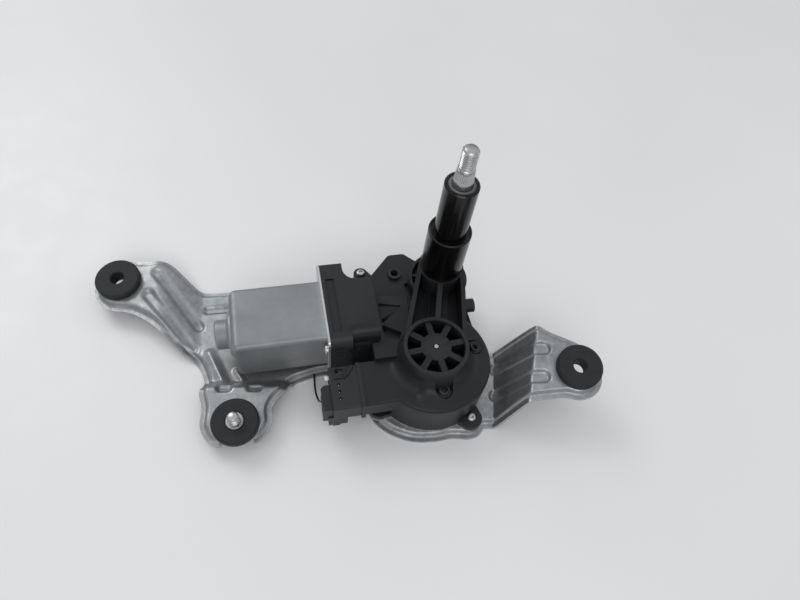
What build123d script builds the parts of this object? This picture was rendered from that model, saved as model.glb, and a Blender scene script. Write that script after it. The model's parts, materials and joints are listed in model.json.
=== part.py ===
from build123d import *
import os
from math import acos, atan, atan2, cos, degrees, hypot, pi, radians, sin, tan

os.makedirs("parts", exist_ok=True)

# Rear wiper motor.  Millimetres, +Z up, X along the motor toward the gears.
# Heights are counted from the bench that the bracket stands on.  Every piece is
# moved down by SEAT_HEIGHT when it is written, so the part's origin is the arm
# seat: the base of the spindle's thread, on the spindle axis.

# ---- spindle, tubes and bushes
SEAT_HEIGHT = 122.0          # base of the wiper-arm thread
THREAD_RADIUS = 4.0          # M8
THREAD_LENGTH = 12.0
THREAD_CHAMFER = 1.0
CONE_LENGTH = 7.0            # knurled cone that the arm seats on
CONE_TOP_RADIUS = 4.3
SPINDLE_RADIUS = 4.95
SPINDLE_FOOT = 6.6
RUNNING = 0.05               # radial clearance of a shaft in its bush
FREE = 0.3                   # gap between pieces that only pass each other
TUBE_RADIUS = 8.65
TUBE_WALL = 1.75
TUBE_FOOT_RADIUS = 8.4       # turned down where the collar grips it
TUBE_TOP = 112.0
COLLAR_RADIUS = 11.45
COLLAR_TOP = 78.3
COLLAR_RECESS = 1.2
TUBE_SEAT = 33.0             # ledge in the neck that both tubes stand on
BUSH_LENGTH = 12.0
WASHER_THICKNESS = 0.8
WASHER_RADIUS = 6.5
CLIP_RADIUS = 6.1
CLIP_THICKNESS = 1.0
CLIP_GROOVE = 0.5
SEAL_THICKNESS = 1.8

# ---- gears
GEAR_X, GEAR_Y = -12.8, -46.8        # worm wheel axis
MOTOR_Y, MOTOR_HEIGHT = -14.0, 24.0  # armature axis
WHEEL_TEETH = 61
WORM_PITCH_RADIUS = 4.8
TOOTH_RISE = 0.8             # tooth height above the pitch circle
TOOTH_SINK = 1.1             # tooth depth below it
WHEEL_BOTTOM = 20.5
WHEEL_FACE = 6.8
WHEEL_TOOTH_SHARE = 0.47     # of the pitch, at the pitch circle
WORM_THREAD_SHARE = 0.36
WORM_LENGTH = 20.0
AXLE_RADIUS = 2.5
AXLE_TIP_RADIUS = 1.1
AXLE_FOOT = 18.2
AXLE_SHOULDER = 38.0
AXLE_TOP = 42.2
WHEEL_CLIP_RADIUS = 4.0
CRANK_RADIUS = 6.5
CRANK_PIN_RADIUS = 2.0
MODULE = 1.0
PINION_TEETH = 16
SECTOR_TEETH = 32            # of the full circle that the sector is cut from
SECTOR_ARM = 33.0
SECTOR_HALF_ANGLE = 42.0
SECTOR_BOTTOM = 8.8
SECTOR_THICKNESS = 5.6
LINK_THICKNESS = 2.0
LINK_BOTTOM = 6.3
LINK_PIN_RADIUS = 2.5

# ---- gear housing
HOUSING_BOTTOM = 5.7
POT_RADIUS = 31.5
POT_TOP = 30.0
POT_WALL = 1.9
POT_EDGE = 2.2
ROOF = 2.4
HUB_RADIUS = 17.2            # at its top; it widens to HUB_FOOT_RADIUS at the roof
HUB_FOOT_RADIUS = 19.9
HUB_TOP = 43.0
HUB_WALL = 2.0
HUB_DISC_RADIUS = 8.0
SPOKES = 8
SPOKE_WIDTH = 3.2
SPOKE_SINK = 1.2
HUB_FLOOR = 32.0
NECK_WALL = 2.4
NECK_BOSS_RADIUS = 12.4
NECK_TOP = 47.5
NECK_FLOOR = 33.0
NECK_PANEL_TOP = 36.5        # raised half floor beside the middle rib
NECK_PANEL_WIDTH = 4.6
NECK_RIB = 2.7
NECK_RING_RADIUS = 16.6
NECK_RING_WALL = 1.6
NECK_RING_TOP = 36.0
TRAY_TOP = 15.5
TRAY_RADIUS = 13.8
TRAY_WALL = 2.6
TUNNEL_RADIUS = 6.2          # bore that the worm turns in
TUNNEL_WALL = 2.2
TUNNEL_END = 11.0
STUB_RADIUS = 4.0
STUB_END = 19.5
WING_TOP = 29.0
WING_THICKNESS = 3.0
BLOCK_LEFT = -66.2
BLOCK_RIGHT = -39.0
BLOCK_TOP = 42.0
BLOCK_FLOOR = 7.0
BLOCK_WALL = 2.4
BLOCK_FAR = 1.0
BLOCK_NEAR = -34.0
BLOCK_ROUND = 7.0            # of the near top edge
TAB_RIGHT = -53.9
STRIP_DEPTH = 0.8
BRIDGE_TOP = 33.5
SCREW_RADIUS = 1.6
SCREW_HEAD_RADIUS = 2.6
SCREW_HEAD = 2.2
SCREW_KEY = 1.3              # radius of the hexagon in the head
LOBE_RADIUS = 6.0
LOBE_TOP = 9.5
LUG_RADIUS = 4.1

# ---- cover and bracket
COVER_THICKNESS = 1.5
SHEET = 1.6
BRACKET_TOP = HOUSING_BOTTOM - COVER_THICKNESS
LIP_WIDTH = 2.6
RING_RADIUS = 34.4
RING_OPENING = 24.0
GROOVE_DEPTH = 1.8
GROOVE_WIDTH = 6.5

# ---- grommets
GROMMET_RADIUS = 12.25
GROMMET_NECK = 8.2
GROMMET_BORE = 3.75
GROMMET_UPPER = 4.2
GROMMET_LOWER = 3.4
PAD_RADIUS = 13.4
SLEEVE_RADIUS = 4.65
SLEEVE_BORE = 3.45           # fits the stud's shank
STUD_RADIUS = 3.0            # of its thread
SLEEVE_RISE = 0.8            # of the sleeve above its grommet
STUD_LENGTH = 4.7
STUD_CHAMFER = 0.7

# ---- motor
CAN_LEFT = -116.0
CAN_RIGHT = -67.6
CAN_WIDTH = 37.0
CAN_HEIGHT = 30.5
CAN_CORNER = 8.5
CAN_WALL = 1.7
CAN_NOSE_RADIUS = 8.0
CAN_NOSE_LENGTH = 9.0
FLANGE_THICKNESS = 1.4
MAGNET_THICKNESS = 4.6
MAGNET_LENGTH = 36.0
CORE_RADIUS = 11.2
CORE_LENGTH = 28.0
CORE_SLOTS = 10
SHAFT_RADIUS = 2.5
COMMUTATOR_RADIUS = 5.0
COMMUTATOR_LENGTH = 9.0
REAR_BEARING_RADIUS = 5.4

# ---- connector
SOCKET_TOP = 30.0
SOCKET_FAR = -44.4
SOCKET_NEAR = -68.6
SOCKET_HEIGHT = 13.0
SOCKET_JOINT = -54.5
SOCKET_LEFT = -74.0
SOCKET_WALL = 1.8
SOCKET_STEP = 2.6            # the mouth's roof lies lower than the arm's
BLADE_HALF_WIDTH = 1.2
BLADE_HALF_THICKNESS = 0.4
BLADE_Y = (-47.9, -55.1, -59.0, -62.9)


# ---------------------------------------------------------------- helpers
def post(x, y, bottom, top, radius):
    return Pos(x, y, bottom) * Cylinder(radius, top - bottom, align=(Align.CENTER, Align.CENTER, Align.MIN))


def tube(x, y, bottom, top, radius, bore):
    return post(x, y, bottom, top, radius) - post(x, y, bottom - 1, top + 1, bore)


def rod_x(left, right, y, z, radius):
    rod = Cylinder(radius, right - left, align=(Align.CENTER, Align.CENTER, Align.MIN))
    return Pos(left, y, z) * Rot(0, 90, 0) * rod


def prism(face, bottom, top):
    return extrude(Pos(0, 0, bottom) * face, top - bottom, dir=(0, 0, 1))


def disc(x, y, radius):
    return Pos(x, y) * Circle(radius)


def block(x0, x1, y0, y1, z0, z1):
    corner = (Align.MIN, Align.MIN, Align.MIN)
    return Pos(x0, y0, z0) * Box(x1 - x0, y1 - y0, z1 - z0, align=corner)


def hull(*discs):
    edges = []
    for face in discs:
        edges += face.edges()
    return make_hull(edges)


def outline(points, radius=0.0):
    face = make_face(Polyline(*points, close=True))
    if radius > 0:
        face = fillet(face.vertices(), radius)
    return face


def polar(radius, angle):
    return (radius * cos(radians(angle)), radius * sin(radians(angle)))


def along_line(x, y, width, length, angle, start=0.0, side=0.0):
    """Flat bar from a point, start to start + length away, at an angle in plan."""
    bar = Rectangle(length, width, align=(Align.MIN, Align.CENTER))
    return Pos(x, y) * Rot(0, 0, angle) * Pos(start, side) * bar


# ---------------------------------------------------------------- linkage
# The worm wheel's crank pin swings the sector, and the sector turns the pinion.
# The link keeps the sector in mesh.  Angles are the rest pose's, in mid stroke.
PINION_PITCH = MODULE * PINION_TEETH / 2
SECTOR_PITCH = MODULE * SECTOR_TEETH / 2
LINK_LENGTH = PINION_PITCH + SECTOR_PITCH
GEAR_DISTANCE = hypot(GEAR_X, GEAR_Y)
GEAR_ANGLE = degrees(atan2(GEAR_Y, GEAR_X))
PIN_DISTANCE = hypot(GEAR_DISTANCE, CRANK_RADIUS)
PIN_ANGLE = GEAR_ANGLE + degrees(atan(CRANK_RADIUS / GEAR_DISTANCE))
LINK_COSINE = (LINK_LENGTH ** 2 + PIN_DISTANCE ** 2 - SECTOR_ARM ** 2) / (2 * LINK_LENGTH * PIN_DISTANCE)
LINK_ANGLE = PIN_ANGLE - degrees(acos(LINK_COSINE))
PIN_X, PIN_Y = polar(PIN_DISTANCE, PIN_ANGLE)
SECTOR_X, SECTOR_Y = polar(LINK_LENGTH, LINK_ANGLE)
ARM_ANGLE = degrees(atan2(PIN_Y - SECTOR_Y, PIN_X - SECTOR_X))
SECTOR_TOP = SECTOR_BOTTOM + SECTOR_THICKNESS

WHEEL_PITCH_RADIUS = MOTOR_Y - GEAR_Y - WORM_PITCH_RADIUS
WHEEL_PITCH = 2 * pi * WHEEL_PITCH_RADIUS / WHEEL_TEETH
WORM_LEAD_ANGLE = degrees(atan(WHEEL_PITCH / (2 * pi * WORM_PITCH_RADIUS)))


# ---------------------------------------------------------------- gears
def spur_face(teeth, share=0.46):
    """Toothed disc with straight-sided teeth; tooth 0 is centred on +X."""
    pitch = MODULE * teeth / 2
    tip, root = pitch + 0.85 * MODULE, pitch - 1.15 * MODULE
    half = share * 180 / teeth
    points = []
    for number in range(teeth):
        middle = number * 360 / teeth
        points.append(polar(root, middle - half * 1.75))
        points.append(polar(tip, middle - half * 0.5))
        points.append(polar(tip, middle + half * 0.5))
        points.append(polar(root, middle + half * 1.75))
    return make_face(Polyline(*points, close=True))


def output_pinion():
    """Steel pinion: a tooth gap faces the sector's pin, with a plain hub above."""
    turn = LINK_ANGLE + 180 / PINION_TEETH
    teeth = prism(Rot(0, 0, turn) * spur_face(PINION_TEETH), SECTOR_BOTTOM, SECTOR_TOP)
    return teeth - post(0, 0, SECTOR_BOTTOM - 1, SECTOR_TOP + 1, SPINDLE_RADIUS)


def sector_gear():
    """Toothed sector with the arm that the crank pin drives."""
    facing = LINK_ANGLE + 180
    wheel = Pos(SECTOR_X, SECTOR_Y) * Rot(0, 0, facing) * spur_face(SECTOR_TEETH)
    reach = SECTOR_PITCH * 2
    wedge_points = [(SECTOR_X, SECTOR_Y)]
    for side in (-SECTOR_HALF_ANGLE, 0, SECTOR_HALF_ANGLE):
        dx, dy = polar(reach, facing + side)
        wedge_points.append((SECTOR_X + dx, SECTOR_Y + dy))
    toothed = wheel & outline(wedge_points)
    boss = disc(SECTOR_X, SECTOR_Y, LINK_PIN_RADIUS + 3.2)
    arm = hull(disc(SECTOR_X, SECTOR_Y, LINK_PIN_RADIUS + 2.4), disc(PIN_X, PIN_Y, CRANK_PIN_RADIUS + 2.4))
    face = toothed + boss + arm
    body = prism(face, SECTOR_BOTTOM, SECTOR_TOP)
    middle = (SECTOR_PITCH - 1.15 * MODULE + LINK_PIN_RADIUS + 3.2) / 2
    window = Pos(SECTOR_X, SECTOR_Y) * Rot(0, 0, facing) * Pos(middle, 0) * SlotOverall(6.5, 2.6, rotation=90)
    body -= prism(window, SECTOR_BOTTOM - 1, SECTOR_TOP + 1)
    body -= post(SECTOR_X, SECTOR_Y, SECTOR_BOTTOM - 1, SECTOR_TOP + 1, LINK_PIN_RADIUS + RUNNING)
    body -= post(PIN_X, PIN_Y, SECTOR_BOTTOM - 1, SECTOR_TOP + 1, CRANK_PIN_RADIUS)
    return body


def crank_pin():
    """Pin at the sector's arm; its head stops FREE short of the worm wheel."""
    return post(PIN_X, PIN_Y, SECTOR_BOTTOM, WHEEL_BOTTOM - FREE, CRANK_PIN_RADIUS)


def coupling_link():
    """Flat steel link between the spindle and the sector's pin."""
    face = hull(disc(0, 0, SPINDLE_RADIUS + 2.6), disc(SECTOR_X, SECTOR_Y, LINK_PIN_RADIUS + 2.4))
    link = prism(face, LINK_BOTTOM, LINK_BOTTOM + LINK_THICKNESS)
    link -= post(0, 0, LINK_BOTTOM - 1, LINK_BOTTOM + LINK_THICKNESS + 1, SPINDLE_RADIUS + RUNNING)
    link -= post(SECTOR_X, SECTOR_Y, LINK_BOTTOM - 1, LINK_BOTTOM + LINK_THICKNESS + 1, LINK_PIN_RADIUS)
    return link


def sector_pin():
    return post(SECTOR_X, SECTOR_Y, LINK_BOTTOM, SECTOR_TOP, LINK_PIN_RADIUS)


def worm_wheel():
    """Moulded wheel: twisted teeth, a web with ribs and a hub on the axle."""
    pitch, share = WHEEL_PITCH_RADIUS, WHEEL_TOOTH_SHARE
    tip, root = pitch + TOOTH_RISE, pitch - TOOTH_SINK
    half = share * 180 / WHEEL_TEETH
    taper = degrees(tan(radians(20)) / pitch)
    points = []
    for number in range(WHEEL_TEETH):
        middle = 90 + number * 360 / WHEEL_TEETH
        low, high = half + taper * TOOTH_SINK, half - taper * TOOTH_RISE
        points += [polar(root, middle - low), polar(tip, middle - high)]
        points += [polar(tip, middle + high), polar(root, middle + low)]
    face = make_face(Polyline(*points, close=True))
    twist = degrees(WHEEL_FACE * tan(radians(WORM_LEAD_ANGLE)) / pitch)
    low_face = Pos(GEAR_X, GEAR_Y, WHEEL_BOTTOM) * Rot(0, 0, -twist / 2) * face
    high_face = Pos(GEAR_X, GEAR_Y, WHEEL_BOTTOM + WHEEL_FACE) * Rot(0, 0, twist / 2) * face
    wheel = loft([low_face, high_face], ruled=True)
    top = WHEEL_BOTTOM + WHEEL_FACE
    hub = AXLE_RADIUS + 3.0
    pocket_outer = root - 2.2
    wheel -= tube(GEAR_X, GEAR_Y, WHEEL_BOTTOM + 2.4, top + 1, pocket_outer, hub)
    ribs = Sketch()
    for number in range(6):
        ribs += along_line(GEAR_X, GEAR_Y, 1.8, pocket_outer - hub + 1, number * 60, hub - 0.5)
    wheel += prism(ribs, WHEEL_BOTTOM + 2.0, top - 1.2)
    return wheel - post(GEAR_X, GEAR_Y, WHEEL_BOTTOM - 1, top + 1, AXLE_RADIUS + RUNNING)


def wheel_axle():
    axle = post(GEAR_X, GEAR_Y, AXLE_FOOT, AXLE_SHOULDER, AXLE_RADIUS)
    return axle + post(GEAR_X, GEAR_Y, AXLE_SHOULDER, AXLE_TOP, AXLE_TIP_RADIUS)


def wheel_clip():
    top = WHEEL_BOTTOM - FREE
    return tube(GEAR_X, GEAR_Y, top - CLIP_THICKNESS, top, WHEEL_CLIP_RADIUS, AXLE_RADIUS)


# ---------------------------------------------------------------- housing
TRAY_X, TRAY_Y = -12.4, 0.3          # where the sector swings out beside the spindle
TRAY_SIDE_RADIUS = 13.6
LOBE_DISTANCE = POT_RADIUS + 2.5
LOBE_ANGLES = (-58.3, 206.0)
LUG_X, LUG_Y = -40.8, 18.8
LUG_TOP = 20.0
DECK_TOP = TRAY_TOP + TRAY_WALL
TUNNEL_OUTER = TUNNEL_RADIUS + TUNNEL_WALL
FAR_STEP = 11.0                      # rise of the block's tab past its far wall
WING = ((-46, -8), (-46, 4), (-42.5, 10), (-37.1, 9.8), (-24.1, 23.6), (-15, 23.7), (-7.1, 15.8), (0, 0), (-22, -18))
WING_POCKET = ((-18.4, 2.6), (-16.0, 3.0), (-13.4, -3.6), (-15.6, -7.4), (-17.6, -5.8), (-18.9, -0.5))
HOLE_BOSSES = ((10.9, -44.6, 3.7), (-12.0, -67.0, 4.2))
WING_HOLE = (-23.1, 9.3)


def lobe_centres():
    """Plan positions of the screws that hold housing, cover and bracket."""
    centres = []
    for angle in LOBE_ANGLES:
        dx, dy = polar(LOBE_DISTANCE, angle)
        centres.append((GEAR_X + dx, GEAR_Y + dy))
    return centres


def pot_outline(extra=0.0):
    return disc(GEAR_X, GEAR_Y, POT_RADIUS + extra)


def tray_outline(extra=0.0):
    """Floor plan of the room for the pinion, the sector and the link."""
    spindle_end = disc(0, 0, TRAY_RADIUS + extra)
    side = disc(TRAY_X, TRAY_Y, TRAY_SIDE_RADIUS + extra)
    return hull(spindle_end, side, disc(GEAR_X, GEAR_Y, POT_RADIUS - POT_WALL + min(extra, POT_WALL)))


def footprint():
    """Bottom outline of the housing."""
    face = tray_outline(TRAY_WALL) + pot_outline()
    face += outline(WING, 3.0)
    left = BLOCK_RIGHT - 7
    face += outline(((left, BLOCK_NEAR + 8), (left, 0), (-30, 0), (-30, BLOCK_NEAR + 8)))
    return face + lobe_outlines() + lug_outline()


def lobe_outlines():
    """Screw lobes that run out of the pot's wall."""
    face = Sketch()
    for angle in LOBE_ANGLES:
        dx, dy = polar(LOBE_DISTANCE, angle)
        inner_x, inner_y = polar(LOBE_DISTANCE - 13, angle)
        face += hull(disc(GEAR_X + dx, GEAR_Y + dy, LOBE_RADIUS), disc(GEAR_X + inner_x, GEAR_Y + inner_y, 9.5))
    return face


def lug_outline():
    return hull(disc(LUG_X, LUG_Y, LUG_RADIUS), disc(-36, 8, LUG_RADIUS + 2))


def motor_block():
    """Body between can and gears: a tab at its far side, a rounded near end and a recessed strip on top."""
    far = BLOCK_FAR + FAR_STEP
    scoop = 7.0
    plan = Polyline((BLOCK_LEFT, BLOCK_NEAR), (BLOCK_LEFT, far), (TAB_RIGHT, far), (TAB_RIGHT, BLOCK_FAR + scoop))
    middle = scoop * (1 - sin(radians(45)))
    corner = ThreePointArc((TAB_RIGHT, BLOCK_FAR + scoop), (TAB_RIGHT + middle, BLOCK_FAR + middle),
                           (TAB_RIGHT + scoop, BLOCK_FAR))
    back = Polyline((TAB_RIGHT + scoop, BLOCK_FAR), (BLOCK_RIGHT, BLOCK_FAR), (BLOCK_RIGHT, BLOCK_NEAR),
                    (BLOCK_LEFT, BLOCK_NEAR))
    body = prism(make_face(plan + corner + back), BLOCK_FLOOR, BLOCK_TOP)
    body = fillet(near_top_edge(body), BLOCK_ROUND)
    side = block(BLOCK_LEFT, TAB_RIGHT - 0.6, BLOCK_NEAR - 4, BLOCK_NEAR + 10, BLOCK_FLOOR, BLOCK_TOP)
    body += fillet(near_top_edge(side), BLOCK_ROUND + 1)
    strip = block(BLOCK_LEFT + 2.2, BLOCK_LEFT + 6.7, BLOCK_NEAR + 3, BLOCK_FAR + 1.4, BLOCK_TOP - STRIP_DEPTH,
                  BLOCK_TOP + 1)
    return body - strip


def near_top_edge(body):
    return body.edges().filter_by(Axis.X).group_by(Axis.Z)[-1].sort_by(Axis.Y)[0]


def cavity_section():
    """Height, width and middle of the room for the brush gear, across X."""
    low, high = MOTOR_HEIGHT - 14.6, BLOCK_TOP - BLOCK_WALL
    near, far = BLOCK_NEAR + BLOCK_WALL, BLOCK_FAR - BLOCK_WALL
    return high - low, far - near, (near + far) / 2, (low + high) / 2


def block_cavity():
    """Room for the brush gear, open toward the can."""
    height, width, y, z = cavity_section()
    section = RectangleRounded(width, height, 5.0)
    return extrude(Plane(origin=(BLOCK_LEFT - 1, y, z), x_dir=(0, 1, 0), z_dir=(1, 0, 0)) * section, 12.5)


def hub_openings():
    """Deep pockets between the spokes, and a shallow step over spokes and disc."""
    opening = HUB_RADIUS - HUB_WALL
    ring = Pos(GEAR_X, GEAR_Y) * (Circle(opening) - Circle(HUB_DISC_RADIUS))
    spokes = Sketch()
    for number in range(SPOKES):
        spokes += along_line(GEAR_X, GEAR_Y, SPOKE_WIDTH, opening, 5 + number * 360 / SPOKES)
    pockets = prism(ring - spokes, HUB_FLOOR, HUB_TOP + 1)
    step = post(GEAR_X, GEAR_Y, HUB_TOP - SPOKE_SINK, HUB_TOP + 1, opening)
    return pockets + step


def neck_outline(extra=0.0):
    return hull(disc(0, 0, NECK_BOSS_RADIUS + extra), disc(GEAR_X, GEAR_Y, HUB_RADIUS + extra))


def neck_wedge():
    """Everything under the neck's sloping top, which climbs from hub to tube."""
    run = GEAR_DISTANCE - HUB_RADIUS - NECK_BOSS_RADIUS
    rise = NECK_TOP - HUB_TOP
    ux, uy = -GEAR_X / GEAR_DISTANCE, -GEAR_Y / GEAR_DISTANCE
    start = (GEAR_X + ux * HUB_RADIUS, GEAR_Y + uy * HUB_RADIUS, HUB_TOP)
    normal = (-ux * rise, -uy * rise, run)
    return below(start, normal)


def below(origin, normal, drop=0.0):
    """Large block under a plane through origin, lowered by drop along its normal."""
    slab = Box(900, 900, 300, align=(Align.CENTER, Align.CENTER, Align.MAX))
    return Plane(origin=origin, z_dir=normal) * (Pos(0, 0, -drop) * slab)


def neck_pockets():
    """Recesses between the neck's side walls and its middle rib; the right one has a raised half floor."""
    inside = neck_outline(-NECK_WALL)
    inside -= disc(GEAR_X, GEAR_Y, HUB_RADIUS)
    inside -= disc(0, 0, NECK_BOSS_RADIUS)
    inside -= along_line(0, 0, NECK_RIB, GEAR_DISTANCE, GEAR_ANGLE)
    panel_side = (NECK_RIB + NECK_PANEL_WIDTH) / 2
    panel = along_line(0, 0, NECK_PANEL_WIDTH, GEAR_DISTANCE, GEAR_ANGLE, side=panel_side)
    ridge = along_line(0, 0, 1.4, GEAR_DISTANCE, GEAR_ANGLE, side=-4.2)
    raised = prism(panel, NECK_FLOOR - 1, NECK_PANEL_TOP) + prism(ridge, NECK_FLOOR - 1, NECK_FLOOR + 1.6)
    return prism(inside, NECK_FLOOR, NECK_TOP + 5) - raised


def hub():
    """Cone over the wheel; a cylinder inside it carries the ring of the top face."""
    cone = Cone(HUB_FOOT_RADIUS, HUB_RADIUS, HUB_TOP - POT_TOP, align=(Align.CENTER, Align.CENTER, Align.MIN))
    return Pos(GEAR_X, GEAR_Y, POT_TOP) * cone + post(GEAR_X, GEAR_Y, POT_TOP - 2, POT_TOP, HUB_FOOT_RADIUS)


def neck_ring():
    """Low wall around the tube's boss, with two cross walls."""
    body = tube(0, 0, DECK_TOP - 1, NECK_RING_TOP, NECK_RING_RADIUS, NECK_RING_RADIUS - NECK_RING_WALL)
    for angle in (163.0, -18.0):
        wall = along_line(0, 0, NECK_RING_WALL, NECK_RING_RADIUS - 0.5, angle)
        body += prism(wall, DECK_TOP - 1, NECK_RING_TOP - 1.5)
    return body


def connector_base():
    """Moulded arm that carries the connector shell, level with the pot's roof."""
    arm = block(SOCKET_JOINT, GEAR_X, SOCKET_NEAR, SOCKET_FAR, SOCKET_TOP - SOCKET_HEIGHT, SOCKET_TOP)
    arm = fillet(arm.edges().filter_by(Axis.X).group_by(Axis.Y)[0], 1.6)
    bead = block(SOCKET_JOINT, SOCKET_JOINT + 2.2, SOCKET_NEAR - 0.8, SOCKET_FAR, SOCKET_TOP - SOCKET_HEIGHT - 0.8,
                 SOCKET_TOP + 0.7)
    return arm + bead


def bridge():
    """Webs between the motor block and the neck, with two open triangles."""
    web = outline(((BLOCK_RIGHT - 1, -6), (-20, -9), (-22, -38), (BLOCK_RIGHT - 1, -38)))
    body = prism(web, DECK_TOP, BRIDGE_TOP)
    far_triangle = outline(((-36.6, -11.4), (-25.8, -14.2), (-23.2, -13.9), (-35.8, -24.0), (-36.6, -23.6)), 0.6)
    near_triangle = outline(((-37.2, -24.9), (-27.2, -31.2), (-29.2, -35.8), (-36.4, -33.0)), 0.8)
    body -= prism(far_triangle, 21.0, BRIDGE_TOP + 1)
    body -= prism(near_triangle, 21.0, BRIDGE_TOP + 1)
    return body


def housing_outside():
    """Every wall and boss of the housing, before its rooms and holes are cut."""
    pot = fillet(post(GEAR_X, GEAR_Y, HOUSING_BOTTOM, POT_TOP, POT_RADIUS).edges().group_by(Axis.Z)[-1], POT_EDGE)
    body = pot + prism(tray_outline(TRAY_WALL), HOUSING_BOTTOM, DECK_TOP)
    wing = outline(WING, 3.0)
    rim = wing - offset(wing, -NECK_WALL)
    body += prism(wing, WING_TOP - WING_THICKNESS, WING_TOP) + prism(rim, HOUSING_BOTTOM, WING_TOP)
    body -= prism(outline(WING_POCKET, 0.6), WING_TOP - WING_THICKNESS + 0.8, WING_TOP + 1)
    body += bridge()
    body += prism(neck_outline(), TRAY_TOP, NECK_TOP) & neck_wedge()
    body += hub()
    body += neck_ring()
    body += post(0, 0, TRAY_TOP, NECK_TOP, NECK_BOSS_RADIUS)
    body += motor_block()
    body += connector_base()
    body += prism(lobe_outlines(), HOUSING_BOTTOM, LOBE_TOP)
    body += prism(lug_outline(), HOUSING_BOTTOM, LUG_TOP)
    for y, z in FLANGE_SCREWS:
        body += rod_x(BLOCK_LEFT, BLOCK_LEFT + 9.0, y, z, FLANGE_BOSS_RADIUS)
    for x, y, radius in HOLE_BOSSES:
        body += post(x, y, POT_TOP - 2, POT_TOP + 1.3, radius)
    body += post(*WING_HOLE, WING_TOP - 1, WING_TOP + 2.0, 3.9)
    body += rod_x(-53.0, BLOCK_RIGHT + 0.9, -29.0, 29.0, 6.2)
    body += block(-44.0, -29.6, -45.0, -35.5, DECK_TOP, BRIDGE_TOP)
    body += rod_x(BLOCK_RIGHT - 3, TUNNEL_END, MOTOR_Y, MOTOR_HEIGHT, TUNNEL_OUTER)
    body += rod_x(TUNNEL_END - 2, STUB_END, MOTOR_Y, MOTOR_HEIGHT, STUB_RADIUS)
    return body


def gear_housing():
    """One moulding: pot, hub, neck, wing, block and connector arm, hollow inside."""
    body = housing_outside()
    body -= neck_pockets()
    body -= hub_openings()
    body -= prism(tray_outline(), HOUSING_BOTTOM - 1, TRAY_TOP)
    body -= post(GEAR_X, GEAR_Y, HOUSING_BOTTOM - 1, POT_TOP - ROOF, POT_RADIUS - POT_WALL)
    body -= block_cavity()
    body -= rod_x(BLOCK_LEFT + 10.7, TUNNEL_END, MOTOR_Y, MOTOR_HEIGHT, TUNNEL_RADIUS)
    body -= rod_x(TUNNEL_END - 1, STUB_END - 2.4, MOTOR_Y, MOTOR_HEIGHT, SHAFT_RADIUS + FREE)
    body -= post(0, 0, TRAY_TOP - 1, TUBE_SEAT, SPINDLE_RADIUS + FREE * 2)
    body -= post(0, 0, TUBE_SEAT, NECK_TOP + 1, COLLAR_RADIUS)
    body -= post(GEAR_X, GEAR_Y, POT_TOP - ROOF - 1, AXLE_SHOULDER, AXLE_RADIUS)
    body -= post(GEAR_X, GEAR_Y, AXLE_SHOULDER, HUB_TOP + 1, AXLE_TIP_RADIUS + 0.5)
    for x, y in lobe_centres():
        body -= post(x, y, LOBE_TOP, WHEEL_BOTTOM, SCREW_HEAD_RADIUS + 0.4)
    for x, y in lobe_centres() + [(LUG_X, LUG_Y)]:
        body -= post(x, y, HOUSING_BOTTOM - 1, LUG_TOP + 1, SCREW_RADIUS + 0.2)
    for y, z in FLANGE_SCREWS:
        body -= rod_x(BLOCK_LEFT - 1, BLOCK_LEFT + 7.2, y, z, SCREW_RADIUS)
    for x, y, radius in HOLE_BOSSES:
        body -= post(x, y, POT_TOP - 1.0, POT_TOP + 3, radius - 2.0)
    body -= post(*WING_HOLE, WING_TOP - WING_THICKNESS - 1, WING_TOP + 3, 2.2)
    return body


# ---------------------------------------------------------------- spindle and tubes
def spindle():
    """Shaft from the link to the M8 thread, with the cone that the arm seats on."""
    shaft = post(0, 0, SPINDLE_FOOT, SEAT_HEIGHT - CONE_LENGTH, SPINDLE_RADIUS)
    cone_height = (Align.CENTER, Align.CENTER, Align.MIN)
    shaft += Pos(0, 0, SEAT_HEIGHT - CONE_LENGTH) * Cone(SPINDLE_RADIUS, CONE_TOP_RADIUS, CONE_LENGTH,
                                                         align=cone_height)
    thread = post(0, 0, SEAT_HEIGHT, SEAT_HEIGHT + THREAD_LENGTH, THREAD_RADIUS)
    shaft += chamfer(thread.edges().group_by(Axis.Z)[-1], THREAD_CHAMFER)
    bottom = clip_height()
    shaft -= tube(0, 0, bottom, bottom + CLIP_THICKNESS, SPINDLE_RADIUS + 1, SPINDLE_RADIUS - CLIP_GROOVE)
    return shaft


def clip_height():
    return TUBE_TOP - 0.2 - SEAL_THICKNESS - FREE - CLIP_THICKNESS


def upper_bush_top():
    return clip_height() - WASHER_THICKNESS - 0.1


def spindle_tube():
    """Steel tube that carries the spindle's bushes, chamfered at the mouth."""
    body = post(0, 0, COLLAR_TOP, TUBE_TOP, TUBE_RADIUS)
    body = chamfer(body.edges().group_by(Axis.Z)[-1], 0.6)
    body += post(0, 0, TUBE_SEAT, COLLAR_TOP, TUBE_FOOT_RADIUS)
    return body - post(0, 0, TUBE_SEAT - 1, TUBE_TOP + 1, TUBE_RADIUS - TUBE_WALL)


def tube_collar():
    """Outer sleeve over the lower half of the tube, with a recessed top face."""
    body = post(0, 0, TUBE_SEAT, COLLAR_TOP, COLLAR_RADIUS)
    body = fillet(body.edges().group_by(Axis.Z)[-1], 0.8)
    body -= tube(0, 0, COLLAR_TOP - COLLAR_RECESS, COLLAR_TOP + 1, COLLAR_RADIUS - 1.1, TUBE_FOOT_RADIUS - 1)
    return body - post(0, 0, TUBE_SEAT - 1, COLLAR_TOP + 1, TUBE_FOOT_RADIUS)


def bush(bottom, top):
    return tube(0, 0, bottom, top, TUBE_RADIUS - TUBE_WALL, SPINDLE_RADIUS + RUNNING)


def upper_bush():
    return bush(upper_bush_top() - BUSH_LENGTH, upper_bush_top())


def lower_bush():
    return bush(TUBE_SEAT, TUBE_SEAT + BUSH_LENGTH)


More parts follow.
